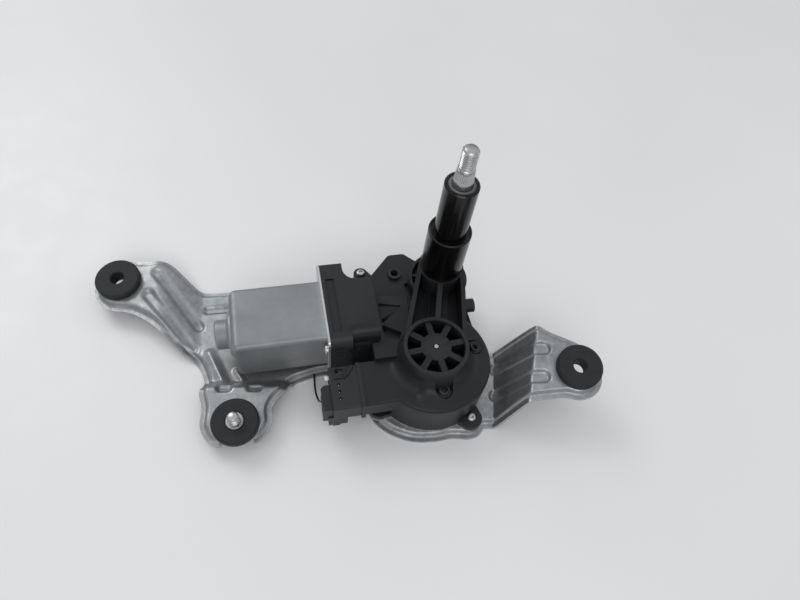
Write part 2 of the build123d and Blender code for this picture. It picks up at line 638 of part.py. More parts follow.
def thrust_washer():
    bottom = clip_height() - WASHER_THICKNESS
    return tube(0, 0, bottom, bottom + WASHER_THICKNESS, WASHER_RADIUS, SPINDLE_RADIUS + RUNNING)


def spindle_clip():
    """Ring in the spindle's groove, open at one side."""
    bottom = clip_height()
    ring = tube(0, 0, bottom, bottom + CLIP_THICKNESS, CLIP_RADIUS, SPINDLE_RADIUS - CLIP_GROOVE)
    gap = block(0, CLIP_RADIUS + 1, -1.2, 1.2, bottom - 1, bottom + CLIP_THICKNESS + 1)
    return ring - gap


def spindle_seal():
    top = TUBE_TOP - 0.2
    body = post(0, 0, top - SEAL_THICKNESS, top, TUBE_RADIUS - TUBE_WALL)
    body = fillet(body.edges().group_by(Axis.Z)[-1], 0.5)
    return body - post(0, 0, top - SEAL_THICKNESS - 1, top + 1, SPINDLE_RADIUS + FREE)


# ---------------------------------------------------------------- motor
def section_x(x, width, height, corner):
    """Rounded rectangle across the motor axis at x."""
    plane = Plane(origin=(x, MOTOR_Y, MOTOR_HEIGHT), x_dir=(0, 1, 0), z_dir=(1, 0, 0))
    return plane * RectangleRounded(width, height, corner)


def motor_can():
    """Deep-drawn steel yoke with a bearing nose and a screw flange."""
    body = extrude(section_x(CAN_LEFT, CAN_WIDTH, CAN_HEIGHT, CAN_CORNER), CAN_RIGHT - CAN_LEFT)
    body = fillet(body.edges().group_by(Axis.X)[0], 4.5)
    nose = rod_x(CAN_LEFT - CAN_NOSE_LENGTH, CAN_LEFT + 3, MOTOR_Y, MOTOR_HEIGHT, CAN_NOSE_RADIUS)
    body += fillet(nose.edges().group_by(Axis.X)[0], 1.4)
    shoulder = rod_x(CAN_LEFT - 1.6, CAN_LEFT + 3, MOTOR_Y, MOTOR_HEIGHT, CAN_NOSE_RADIUS + 4.5)
    body += fillet(shoulder.edges().group_by(Axis.X)[0], 1.4)
    inside = CAN_WIDTH - 2 * CAN_WALL, CAN_HEIGHT - 2 * CAN_WALL, CAN_CORNER - CAN_WALL
    body -= extrude(section_x(CAN_LEFT + CAN_WALL, *inside), CAN_RIGHT - CAN_LEFT)
    body += flange_plate(CAN_RIGHT, BLOCK_LEFT) - extrude(section_x(CAN_RIGHT - 1, *inside), 9)
    body -= rod_x(CAN_LEFT - CAN_NOSE_LENGTH + CAN_WALL, CAN_LEFT + 4, MOTOR_Y, MOTOR_HEIGHT, REAR_BEARING_RADIUS)
    for y, z in FLANGE_SCREWS:
        body -= rod_x(CAN_RIGHT - 1, BLOCK_LEFT + 1, y, z, SCREW_RADIUS + 0.1)
    return body


FLANGE_FAR, FLANGE_NEAR = 13.2, -38.5
FLANGE_LOW = 8.0
FLANGE_HEAD_RADIUS = 2.6
FLANGE_BOSS_RADIUS = 3.0
FLANGE_SCREWS = ((-35.5, 32.5), (8.6, 15.5))


def flange_plate(x0, x1):
    plate = block(x0, x1, FLANGE_NEAR, FLANGE_FAR, FLANGE_LOW, BLOCK_TOP + 0.6)
    return fillet(plate.edges().filter_by(Axis.X), 3.0)


def can_screws():
    screws = []
    for y, z in FLANGE_SCREWS:
        head = rod_x(CAN_RIGHT - 2.0, CAN_RIGHT, y, z, FLANGE_HEAD_RADIUS)
        head = fillet(head.edges().group_by(Axis.X)[0], 0.8)
        screws.append(head + rod_x(CAN_RIGHT, BLOCK_LEFT + 7, y, z, SCREW_RADIUS))
    return Compound(children=screws)


def magnet(side):
    """Arc magnet on the can's side wall, trimmed to the can."""
    gap = CORE_RADIUS + 0.7
    middle = (CAN_LEFT + CAN_RIGHT) / 2 - 1.5
    left, right = middle - MAGNET_LENGTH / 2, middle + MAGNET_LENGTH / 2
    ring = rod_x(left, right, MOTOR_Y, MOTOR_HEIGHT, gap + MAGNET_THICKNESS + 2)
    ring -= rod_x(left - 1, right + 1, MOTOR_Y, MOTOR_HEIGHT, gap)
    inside = CAN_WIDTH - 2 * CAN_WALL, CAN_HEIGHT - 2 * CAN_WALL, CAN_CORNER - CAN_WALL
    ring &= extrude(section_x(left, *inside), right - left)
    reach = gap + 6
    y0, y1 = (MOTOR_Y + 6.4, MOTOR_Y + 20) if side > 0 else (MOTOR_Y - 20, MOTOR_Y - 6.4)
    return ring & block(left, right, y0, y1, MOTOR_HEIGHT - reach, MOTOR_HEIGHT + reach)


def core_span():
    middle = (CAN_LEFT + CAN_RIGHT) / 2 - 1.5
    return middle - CORE_LENGTH / 2, middle + CORE_LENGTH / 2


def slot_face(grow=0.0):
    """Winding slots around the shaft, drawn across the X axis."""
    slots = Sketch()
    for number in range(CORE_SLOTS):
        turn = Rot(0, 0, (number + 0.5) * 360 / CORE_SLOTS)
        slots += turn * Pos(7.6, 0) * SlotOverall(4.6, 2.6 + 2 * grow)
    return slots


def across_x(x):
    return Plane(origin=(x, MOTOR_Y, MOTOR_HEIGHT), x_dir=(0, 1, 0), z_dir=(1, 0, 0))


def armature_core():
    left, right = core_span()
    mouths = Sketch()
    for number in range(CORE_SLOTS):
        mouths += Rot(0, 0, (number + 0.5) * 360 / CORE_SLOTS) * Pos(CORE_RADIUS - 0.5, 0) * Rectangle(3, 1.0)
    face = Circle(CORE_RADIUS) - Circle(SHAFT_RADIUS) - slot_face() - mouths
    return extrude(across_x(left) * face, right - left)


def armature_windings():
    """Copper in the slots, joined by the end turns at both ends of the core."""
    left, right = core_span()
    coil = extrude(across_x(left - 4.5) * slot_face(-0.1), right - left + 9)
    for x0, x1 in ((left - 4.6, left), (right, right + 4.6)):
        ends = rod_x(x0, x1, MOTOR_Y, MOTOR_HEIGHT, 10.2)
        ends = fillet(ends.edges(), 1.8)
        coil += ends - rod_x(x0 - 1, x1 + 1, MOTOR_Y, MOTOR_HEIGHT, SHAFT_RADIUS + 1.2)
    return coil


def commutator_span():
    right = BLOCK_LEFT + 3.0
    return right - COMMUTATOR_LENGTH, right


def commutator():
    left, right = commutator_span()
    body = rod_x(left, right, MOTOR_Y, MOTOR_HEIGHT, COMMUTATOR_RADIUS)
    body += rod_x(left, left + 1.2, MOTOR_Y, MOTOR_HEIGHT, COMMUTATOR_RADIUS + 1.2)
    return body - rod_x(left - 1, right + 1, MOTOR_Y, MOTOR_HEIGHT, SHAFT_RADIUS)


def worm_start():
    return GEAR_X - 3.25 * WHEEL_PITCH


def armature_shaft():
    """One shaft with the worm cut on it, running from the can's nose to the stub."""
    shaft = rod_x(CAN_LEFT - 6.0, STUB_END - 4.6, MOTOR_Y, MOTOR_HEIGHT, SHAFT_RADIUS)
    root = WORM_PITCH_RADIUS - TOOTH_SINK
    start, length = worm_start(), 6.5 * WHEEL_PITCH
    shaft += rod_x(start - 2.0, start + length + 2.0, MOTOR_Y, MOTOR_HEIGHT, root)
    path = Helix(WHEEL_PITCH, length, root - 0.2)
    half = WORM_THREAD_SHARE * WHEEL_PITCH / 2
    low, high = half + TOOTH_SINK * tan(radians(20)), half - TOOTH_RISE * tan(radians(20))
    height = TOOTH_SINK + TOOTH_RISE + 0.2
    section = Plane(origin=path @ 0, x_dir=(1, 0, 0), z_dir=path % 0)
    profile = section * make_face(Polyline((0, -low), (height, -high), (height, high), (0, low), close=True))
    thread = sweep(profile, path=path, is_frenet=True)
    shaft += Pos(start, MOTOR_Y, MOTOR_HEIGHT) * Rot(0, 90, 0) * thread
    return shaft


def rear_bearing():
    left = CAN_LEFT - CAN_NOSE_LENGTH + CAN_WALL + 0.4
    body = rod_x(left, left + 6.5, MOTOR_Y, MOTOR_HEIGHT, REAR_BEARING_RADIUS)
    body = fillet(body.edges(), 0.8)
    return body - rod_x(left - 1, left + 8, MOTOR_Y, MOTOR_HEIGHT, SHAFT_RADIUS + RUNNING)


def front_bearing():
    left = BLOCK_LEFT + 12.0
    body = rod_x(left, left + 6.0, MOTOR_Y, MOTOR_HEIGHT, TUNNEL_RADIUS)
    return body - rod_x(left - 1, left + 8, MOTOR_Y, MOTOR_HEIGHT, SHAFT_RADIUS + RUNNING)


def end_bearing():
    right = TUNNEL_END
    body = rod_x(right - 6.0, right, MOTOR_Y, MOTOR_HEIGHT, TUNNEL_RADIUS)
    return body - rod_x(right - 7, right + 1, MOTOR_Y, MOTOR_HEIGHT, SHAFT_RADIUS + RUNNING)


def thrust_pad():
    right = STUB_END - 2.4
    return rod_x(right - 2.0, right, MOTOR_Y, MOTOR_HEIGHT, SHAFT_RADIUS + FREE)


def brush_plate():
    """Plastic ring in the block that carries two brush boxes."""
    left, right = BLOCK_LEFT + 3.6, BLOCK_LEFT + 6.0
    height, width, y, z = cavity_section()
    plane = Plane(origin=(left, y, z), x_dir=(0, 1, 0), z_dir=(1, 0, 0))
    body = extrude(plane * RectangleRounded(width - 0.4, height - 0.4, 4.8), right - left)
    body -= rod_x(left - 1, right + 1, MOTOR_Y, MOTOR_HEIGHT, COMMUTATOR_RADIUS + 1.0)
    for side in (-1, 1):
        centre_z = MOTOR_HEIGHT + side * 9.6
        body += block(left - 6.2, left, MOTOR_Y - 3.2, MOTOR_Y + 3.2, centre_z - 3.6, centre_z + 3.6)
        low, high = sorted((MOTOR_HEIGHT + side * 5.2, MOTOR_HEIGHT + side * 12.6))
        body -= block(left - 7, left - 0.6, MOTOR_Y - 2.1, MOTOR_Y + 2.1, low, high)
    return body


def brushes():
    """Two carbon blocks, hollowed where they ride on the commutator."""
    left, right = commutator_span()
    pair = []
    for side in (-1, 1):
        low, high = sorted((MOTOR_HEIGHT + side * 3.0, MOTOR_HEIGHT + side * 10.4))
        body = block(BLOCK_LEFT - 3.1, BLOCK_LEFT + 2.8, MOTOR_Y - 2.0, MOTOR_Y + 2.0, low, high)
        body -= rod_x(left - 3, right + 3, MOTOR_Y, MOTOR_HEIGHT, COMMUTATOR_RADIUS + RUNNING)
        pair.append(body)
    return Compound(children=pair)


def brush_springs():
    """Leaf springs that press the brushes onto the commutator."""
    pair = []
    for side in (-1, 1):
        low, high = sorted((MOTOR_HEIGHT + side * 10.4, MOTOR_HEIGHT + side * 12.6))
        body = block(BLOCK_LEFT - 3.1, BLOCK_LEFT + 2.8, MOTOR_Y - 1.6, MOTOR_Y + 1.6, low, high)
        slot_low, slot_high = sorted((MOTOR_HEIGHT + side * 10.9, MOTOR_HEIGHT + side * 12.1))
        body -= block(BLOCK_LEFT - 2.4, BLOCK_LEFT + 4, MOTOR_Y - 2, MOTOR_Y + 2, slot_low, slot_high)
        pair.append(body)
    return Compound(children=pair)


# ---------------------------------------------------------------- bracket and grommets
# Each arm: grommet centre on the pad's top face, the pad's tilt, the two ends of
# the fold at the plate and a point on the fold at the pad.
LEFT_PAD = (-177.6, 34.4, 14.8)
RIGHT_PAD = (63.4, -66.0, 32.8)
EAR_PAD = (-118.4, -60.4, 11.8)
LEFT_TILT = (-0.066, -0.07, 1.0)
RIGHT_TILT = (-0.085, -0.12, 1.0)
EAR_TILT = (-0.04, -0.07, 1.0)
LEFT_FOLD = ((-134.6, 24.8), (-137.9, -17.1), (-154.6, 22.8))
RIGHT_FOLD = ((18.4, -79.4), (30.2, -38.5), (40.8, -58.0))
EAR_FOLD = ((-131.0, -31.5), (-97.0, -36.0), (-114.0, -41.0))
GROMMET_PADS = {"left": (LEFT_PAD, LEFT_TILT), "right": (RIGHT_PAD, RIGHT_TILT), "ear": (EAR_PAD, EAR_TILT)}


def pad_height(pad, tilt, x, y):
    return pad[2] - (tilt[0] * (x - pad[0]) + tilt[1] * (y - pad[1])) / tilt[2]


def slope_plane(pad, tilt, fold):
    """Origin and normal of the plane from the fold at the plate up to the pad."""
    (x0, y0), (x1, y1), (x2, y2) = fold
    a = Vector(x0, y0, BRACKET_TOP)
    b = Vector(x1, y1, BRACKET_TOP)
    c = Vector(x2, y2, pad_height(pad, tilt, x2, y2))
    normal = (b - a).cross(c - a)
    if normal.Z < 0:
        normal = normal * -1
    return a, normal


def arm_surface(pad, tilt, fold, drop):
    """Everything under an arm's top face, lowered by drop: plate, slope and pad."""
    origin, normal = slope_plane(pad, tilt, fold)
    plate = below((0, 0, BRACKET_TOP), (0, 0, 1), drop)
    return (plate + below(origin, normal, drop)) & below(pad, tilt, drop)


def grown(face, extra):
    return offset(face, extra) if extra else face


def left_arm_plan(extra):
    pad = disc(LEFT_PAD[0], LEFT_PAD[1], PAD_RADIUS)
    return grown(hull(pad, outline(((-129, 24.5), (-151.0, 44.0), (-156.0, 2.5), (-135.5, -16.5)))), extra)


def right_arm_plan(extra):
    arm = outline(((10, -40), (29.5, -38.8), (46.5, -40.6), (56.5, -47.5), (67.0, -57.0), (62.0, -76.8),
                   (36.0, -76.6), (18.6, -77.2), (4, -73)))
    return grown(arm, extra) + disc(RIGHT_PAD[0], RIGHT_PAD[1], PAD_RADIUS + extra)


def ear_plan(extra):
    ear = outline(((-131.5, -24), (-132.0, -47.0), (-131.8, -60.0), (-106.0, -60.0), (-103.0, -52.0),
                   (-96.0, -46.0), (-91.5, -40.5), (-91, -24)))
    return grown(ear, extra) + disc(EAR_PAD[0], EAR_PAD[1], PAD_RADIUS + extra)


def plate_plan(extra):
    plate = outline(((-128, 24.5), (-62, 21.5), (-40, 22.5), (-22, 12), (-10, 10), (-10, -40), (-44, -46),
                     (-58, -31), (-66, -28.5), (-83, -33.5), (-93, -38), (-131.5, -30), (-137.0, -15.5)))
    neck = hull(disc(0, 0, TRAY_RADIUS + extra), disc(GEAR_X, GEAR_Y, TRAY_RADIUS + extra))
    face = grown(plate, extra) + disc(GEAR_X, GEAR_Y, RING_RADIUS + extra) + neck
    for x, y in lobe_centres() + [(LUG_X, LUG_Y)]:
        face += disc(x, y, LUG_RADIUS + 2.4 + extra)
    return face


def bracket_plan(extra=0.0):
    """Whole outline of the bracket's top face, grown by extra."""
    return plate_plan(extra) + left_arm_plan(extra) + right_arm_plan(extra) + ear_plan(extra)


def grooves():
    """Pressed channels that stiffen the bends, by arm."""
    def groove(x0, y0, x1, y1, width=GROOVE_WIDTH):
        return hull(disc(x0, y0, width / 2), disc(x1, y1, width / 2))
    left = groove(-158.5, 35.5, -138.0, 13.5) + groove(-161.5, 18.5, -140.5, -3.5)
    right = groove(51.0, -54.0, 28.0, -47.5) + groove(46.0, -67.5, 23.5, -61.5)
    ear = groove(-122.7, -42.5, -122.7, -33.0, 5.5) + groove(-106.7, -43.5, -106.7, -35.0, 5.5)
    plate = groove(-125, 16.5, -72, 16.5, 5.0) + groove(-125, 5.0, -72, 5.0, 5.0)
    return {"left": left, "right": right, "ear": ear, "plate": plate}


def domains():
    """Parts of the plan that each arm's surface shapes; they meet on the flat plate."""
    left = outline(((-230, 80), (-131.2, 80), (-131.2, 24), (-133.5, -14), (-133.5, -25.5), (-230, -25.5)))
    ear = outline(((-142, -28), (-86, -28), (-86, -100), (-142, -100)))
    (x0, y0), (x1, y1), top = RIGHT_FOLD
    slant = (x1 - x0) / (y1 - y0)
    foot = x0 - 1.0
    right = outline(((foot + slant * (-20 - y0), -20), (120, -20), (120, -110), (foot + slant * (-110 - y0), -110)))
    everything = Rectangle(500, 300)
    return {"left": left, "right": right, "ear": ear, "plate": everything - left - right - ear}


def mounting_bracket():
    """Pressed steel: flat plate, three stepped arms, side walls and an outward lip."""
    face = bracket_plan()
    inner = bracket_plan(-SHEET)
    outer = bracket_plan(LIP_WIDTH)
    channels = grooves()
    shapes = {"left": (LEFT_PAD, LEFT_TILT, LEFT_FOLD), "right": (RIGHT_PAD, RIGHT_TILT, RIGHT_FOLD),
              "ear": (EAR_PAD, EAR_TILT, EAR_FOLD)}
    depth = BRACKET_TOP
    bracket = Part()
    for name, domain in domains().items():
        def under(drop):
            if name in shapes:
                return arm_surface(*shapes[name], drop)
            return below((0, 0, BRACKET_TOP), (0, 0, 1), drop)
        groove = channels[name]
        levels = {drop: under(drop) for drop in (0, SHEET, GROOVE_DEPTH, GROOVE_DEPTH + SHEET, depth - SHEET, depth)}
        layers = ((face - groove, 0, SHEET), (groove, GROOVE_DEPTH, GROOVE_DEPTH + SHEET),
                  (offset(groove, SHEET) - groove, 0, GROOVE_DEPTH + SHEET), (face - inner, 0, depth),
                  (outer - inner, depth - SHEET, depth))
        for plan, top, bottom in layers:
            column = prism(plan & domain, -5, 60)
            bracket += (column & levels[top]) - levels[bottom]
    bracket -= post(GEAR_X, GEAR_Y, -5, BRACKET_TOP + 1, RING_OPENING)
    for pad, tilt in GROMMET_PADS.values():
        bracket -= Plane(origin=pad, z_dir=tilt) * Pos(0, 0, -6) * Cylinder(GROMMET_NECK, 14)
    slot = block(EAR_PAD[0] - GROMMET_NECK, EAR_PAD[0] + GROMMET_NECK, EAR_PAD[1] - 30, EAR_PAD[1], 3, 30)
    bracket -= slot
    for x, y in lobe_centres() + [(LUG_X, LUG_Y)]:
        bracket -= post(x, y, -5, BRACKET_TOP + 1, SCREW_RADIUS)
    return bracket


def gear_cover():
    """Steel plate under the housing, with a lug at each screw."""
    plate = prism(footprint(), BRACKET_TOP, HOUSING_BOTTOM)
    for x, y in lobe_centres() + [(LUG_X, LUG_Y)]:
        plate -= post(x, y, BRACKET_TOP - 1, HOUSING_BOTTOM + 1, SCREW_RADIUS + 0.2)
    return plate


def housing_screws():
    screws = []
    tops = [LOBE_TOP] * len(LOBE_ANGLES) + [LUG_TOP]
    for (x, y), top in zip(lobe_centres() + [(LUG_X, LUG_Y)], tops):
        head = post(x, y, top, top + SCREW_HEAD, SCREW_HEAD_RADIUS)
        head = fillet(head.edges().group_by(Axis.Z)[-1], 1.0)
        head -= Pos(x, y, top + SCREW_HEAD - 1.2) * extrude(RegularPolygon(SCREW_KEY, 6), 2)
        screws.append(head + post(x, y, 0.6, top, SCREW_RADIUS))
    return Compound(children=screws)


def grommet(name):
    """Rubber grommet: two flanges, the neck between them and a bore."""
    pad, tilt = GROMMET_PADS[name]
    bore = SLEEVE_RADIUS if name == "ear" else GROMMET_BORE
    top, bottom = GROMMET_UPPER, -SHEET - GROMMET_LOWER
    profile = make_face(Polyline((bore + 0.5, top), (GROMMET_RADIUS - 0.9, top), (GROMMET_RADIUS, top - 0.9),
                                 (GROMMET_RADIUS, 0), (GROMMET_NECK, 0), (GROMMET_NECK, -SHEET),
                                 (11.2, -SHEET), (10.4, bottom), (bore + 0.5, bottom), (bore, bottom + 0.5),
                                 (bore, top - 0.5), close=True))
    body = revolve(Plane.XZ * profile, Axis.Z)
    return Plane(origin=pad, z_dir=tilt) * body


def on_ear(shape):
    return Plane(origin=EAR_PAD, z_dir=EAR_TILT) * shape


def ear_sleeve():
    """Steel spacer through the ear's grommet."""
    length = GROMMET_UPPER + SHEET + GROMMET_LOWER + SLEEVE_RISE
    sleeve = Pos(0, 0, -SHEET - GROMMET_LOWER) * Cylinder(SLEEVE_RADIUS, length,
                                                          align=(Align.CENTER, Align.CENTER, Align.MIN))
    sleeve = chamfer(sleeve.edges().group_by(Axis.Z)[-1], 0.4)
    return on_ear(sleeve - Cylinder(SLEEVE_BORE, 40))


def ear_stud():
    """Stud held in the sleeve, with its head under the ear."""
    foot = -SHEET - GROMMET_LOWER
    seat = GROMMET_UPPER + SLEEVE_RISE
    stud = post(0, 0, seat, seat + STUD_LENGTH, STUD_RADIUS)
    stud = chamfer(stud.edges().group_by(Axis.Z)[-1], STUD_CHAMFER)
    stud += post(0, 0, foot, seat, SLEEVE_BORE - RUNNING)
    head = Pos(0, 0, foot) * Cylinder(6.0, 2.2, align=(Align.CENTER, Align.CENTER, Align.MAX))
    return on_ear(stud + head)


# ---------------------------------------------------------------- connector
def socket_span():
    """Inside of the socket: far, near, low and high walls."""
    wall = SOCKET_WALL
    return SOCKET_FAR - wall, SOCKET_NEAR + wall, SOCKET_TOP - SOCKET_HEIGHT + wall, SOCKET_TOP - SOCKET_STEP - wall


def connector_shell():
    """Socket open toward -X, with a stepped skirt, a latch frame and round windows over the blades."""
    low, high = SOCKET_TOP - SOCKET_HEIGHT, SOCKET_TOP
    far, near, floor, ceiling = socket_span()
    body = block(SOCKET_LEFT + 5, SOCKET_JOINT, SOCKET_NEAR, SOCKET_FAR, low, high)
    body = fillet(body.edges().filter_by(Axis.X), 1.2)
    mouth = block(SOCKET_LEFT, SOCKET_LEFT + 8, SOCKET_NEAR + 1.0, SOCKET_FAR - 9.0, low, high - SOCKET_STEP)
    body += chamfer(mouth.edges().filter_by(Axis.Z).sort_by(Axis.X)[:2].sort_by(Axis.Y)[-1], 1.6)
    skirt_far = SOCKET_NEAR + 3.4
    body += block(SOCKET_LEFT + 2.6, SOCKET_LEFT + 12.6, SOCKET_NEAR + 0.4, skirt_far, low - 7.5, low + 2)
    body += block(SOCKET_LEFT + 5.0, SOCKET_LEFT + 8.6, SOCKET_NEAR + 0.4, skirt_far, low - 9.0, low + 2)
    body += block(SOCKET_LEFT, SOCKET_LEFT + 3, SOCKET_NEAR + 3.0, SOCKET_NEAR + 9.5, low - 7.0, low + 1)
    body -= block(SOCKET_LEFT - 1, SOCKET_LEFT + 12, near, far, floor, ceiling)
    body += latch_frame(high)
    for y in BLADE_Y:
        body -= post(SOCKET_LEFT + 9.2, y, ceiling - 1, high + 1, 0.8)
        body -= block(SOCKET_LEFT + 11, SOCKET_JOINT + 1, y - BLADE_HALF_WIDTH, y + BLADE_HALF_WIDTH,
                      blade_height() - BLADE_HALF_THICKNESS, blade_height() + BLADE_HALF_THICKNESS)
    return body


def latch_frame(top):
    """Raised frame and sloping rib on the shell's roof, at its far side."""
    x0, x1, y0, y1 = SOCKET_LEFT + 7.0, SOCKET_LEFT + 13.4, SOCKET_FAR - 7.6, SOCKET_FAR - 1.6
    frame = block(x0, x1, y0, y1, top - 0.5, top + 0.9)
    frame -= block(x0 + 0.9, x1 - 0.9, y0 + 0.9, y1 - 0.9, top, top + 2)
    frame -= post(SOCKET_LEFT + 9.2, BLADE_Y[0], top - 1, top + 2, 1.4)
    rib = along_line(x1 + 4.4, y1 + 0.3, 1.1, 6.6, 232.0)
    return frame + prism(rib, top - 0.5, top + 0.9)


def blade_height():
    return SOCKET_TOP - SOCKET_HEIGHT / 2


def blades():
    """Tin-plated blades that stand in the socket."""
    z = blade_height()
    return Compound(children=[block(SOCKET_LEFT + 3, SOCKET_JOINT - 0.5, y - BLADE_HALF_WIDTH, y + BLADE_HALF_WIDTH,
                                    z - BLADE_HALF_THICKNESS, z + BLADE_HALF_THICKNESS) for y in BLADE_Y])


def write(name, shape):
    """Write one node, moved so that the arm seat is the origin."""
    export_step(Pos(0, 0, -SEAT_HEIGHT) * shape, f"parts/{name}.step")


NODES = {
    "spindle": spindle, "spindle_tube": spindle_tube, "tube_collar": tube_collar, "upper_bush": upper_bush,
    "lower_bush": lower_bush, "thrust_washer": thrust_washer, "spindle_clip": spindle_clip,
    "spindle_seal": spindle_seal, "output_pinion": output_pinion, "sector_gear": sector_gear,
    "sector_pin": sector_pin, "coupling_link": coupling_link, "crank_pin": crank_pin, "worm_wheel": worm_wheel,
    "wheel_axle": wheel_axle, "wheel_clip": wheel_clip, "gear_housing": gear_housing, "gear_cover": gear_cover,
    "housing_screws": housing_screws, "mounting_bracket": mounting_bracket,
    "left_grommet": lambda: grommet("left"), "right_grommet": lambda: grommet("right"),
    "ear_grommet": lambda: grommet("ear"), "ear_sleeve": ear_sleeve, "ear_stud": ear_stud,
    "motor_can": motor_can, "can_screws": can_screws, "far_magnet": lambda: magnet(1),
    "near_magnet": lambda: magnet(-1), "armature_core": armature_core, "armature_windings": armature_windings,
    "commutator": commutator, "armature_shaft": armature_shaft, "rear_bearing": rear_bearing,
    "front_bearing": front_bearing, "end_bearing": end_bearing, "thrust_pad": thrust_pad,
    "brush_plate": brush_plate, "brushes": brushes, "brush_springs": brush_springs,
    "connector_shell": connector_shell, "connector_blades": blades,
}

for node, make in NODES.items():
    write(node, make())
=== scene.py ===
import json
import math

import bpy
import numpy as np
from mathutils import Matrix, Vector


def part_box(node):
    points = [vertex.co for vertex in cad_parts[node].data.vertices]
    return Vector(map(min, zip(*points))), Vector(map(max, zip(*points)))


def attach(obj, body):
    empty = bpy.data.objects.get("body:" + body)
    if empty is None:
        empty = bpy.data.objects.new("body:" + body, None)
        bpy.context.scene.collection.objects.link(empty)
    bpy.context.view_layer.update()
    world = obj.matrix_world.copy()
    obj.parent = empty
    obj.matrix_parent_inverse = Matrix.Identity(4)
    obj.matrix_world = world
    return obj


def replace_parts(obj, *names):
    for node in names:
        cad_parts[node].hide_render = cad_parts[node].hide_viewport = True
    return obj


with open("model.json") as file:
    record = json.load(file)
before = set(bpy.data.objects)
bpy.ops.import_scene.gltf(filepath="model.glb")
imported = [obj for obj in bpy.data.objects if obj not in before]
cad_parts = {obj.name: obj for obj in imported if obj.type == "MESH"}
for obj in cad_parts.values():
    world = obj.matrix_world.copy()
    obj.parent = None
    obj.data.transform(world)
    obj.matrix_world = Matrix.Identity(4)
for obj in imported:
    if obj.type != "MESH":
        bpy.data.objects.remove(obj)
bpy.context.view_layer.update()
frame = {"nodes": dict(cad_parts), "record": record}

MM = 0.001
SEAT = 122.0          # height of the arm seat, which is the origin, above the bench, mm
FLOOR = -SEAT * MM


# ---------------------------------------------------------------- material nodes
class Nodes:
    """Small helper that adds shader nodes to a new material."""

    def __init__(self, name):
        self.mat = bpy.data.materials.new(name)
        self.mat.use_nodes = True
        self.tree = self.mat.node_tree
        self.tree.nodes.clear()
        self.out = self.add("ShaderNodeOutputMaterial")
        self.bsdf = self.add("ShaderNodeBsdfPrincipled")
        self.link(self.bsdf.outputs[0], self.out.inputs[0])
        self.coord = self.add("ShaderNodeTexCoord").outputs["Object"]
        self.height = None

    def add(self, kind, **settings):
        node = self.tree.nodes.new(kind)
        for key, value in settings.items():
            setattr(node, key, value)
        return node

    def link(self, a, b):
        self.tree.links.new(a, b)

    def give(self, socket, value):
        """Links a socket to another one, or sets its value."""
        if isinstance(value, bpy.types.NodeSocket):
            self.link(value, socket)
        else:
            socket.default_value = value

    def put(self, node, **values):
        for key, value in values.items():
            self.give(node.inputs[key], value)

    def stretch(self, x, y, z):
        node = self.add("ShaderNodeMapping")
        self.link(self.coord, node.inputs["Vector"])
        node.inputs["Scale"].default_value = (x, y, z)
        return node.outputs["Vector"]

    def noise(self, scale, detail=3.0, rough=0.55, vector=None):
        node = self.add("ShaderNodeTexNoise")
        self.put(node, Vector=vector or self.coord, Scale=scale, Detail=detail, Roughness=rough)
        return node.outputs["Fac"]

    def cell_colours(self, scale):
        node = self.add("ShaderNodeTexVoronoi")
        self.put(node, Vector=self.coord, Scale=scale)
        return node.outputs["Color"]

    def math(self, operation, a, b):
        node = self.add("ShaderNodeMath", operation=operation)
        for socket, value in zip(node.inputs, (a, b)):
            self.give(socket, value)
        return node.outputs[0]

    def span(self, value, low, high, to_low, to_high):
        node = self.add("ShaderNodeMapRange")
        node.inputs["From Min"].default_value = low
        node.inputs["From Max"].default_value = high
        node.inputs["To Min"].default_value = to_low
        node.inputs["To Max"].default_value = to_high
        self.link(value, node.inputs["Value"])
        return node.outputs["Result"]

    def ramp(self, value, *stops):
        node = self.add("ShaderNodeValToRGB")
        ramp = node.color_ramp
        while len(ramp.elements) < len(stops):
            ramp.elements.new(0.5)
        for element, (place, colour) in zip(ramp.elements, stops):
            element.position = place
            element.color = (*colour, 1.0)
        self.link(value, node.inputs["Fac"])
        return node.outputs["Color"]

    def mix(self, factor, a, b):
        """Mix of two colours: a is a socket and b three numbers."""
        node = self.add("ShaderNodeMix", data_type="RGBA")
        self.give(node.inputs[0], factor)
        self.give(node.inputs[6], a)
        self.give(node.inputs[7], (*b, 1.0))
        return node.outputs[2]

    def bump(self, height, strength, distance):
        node = self.add("ShaderNodeBump")
        node.inputs["Strength"].default_value = strength
        node.inputs["Distance"].default_value = distance
        self.link(height, node.inputs["Height"])
        if self.height is not None:
            self.link(self.height, node.inputs["Normal"])
        self.height = node.outputs["Normal"]
        self.link(self.height, self.bsdf.inputs["Normal"])

    def edges(self, low, high):
        """1 along convex edges, 0 on flat surfaces."""
        node = self.add("ShaderNodeNewGeometry")
        return self.span(node.outputs["Pointiness"], low, high, 0.0, 1.0)


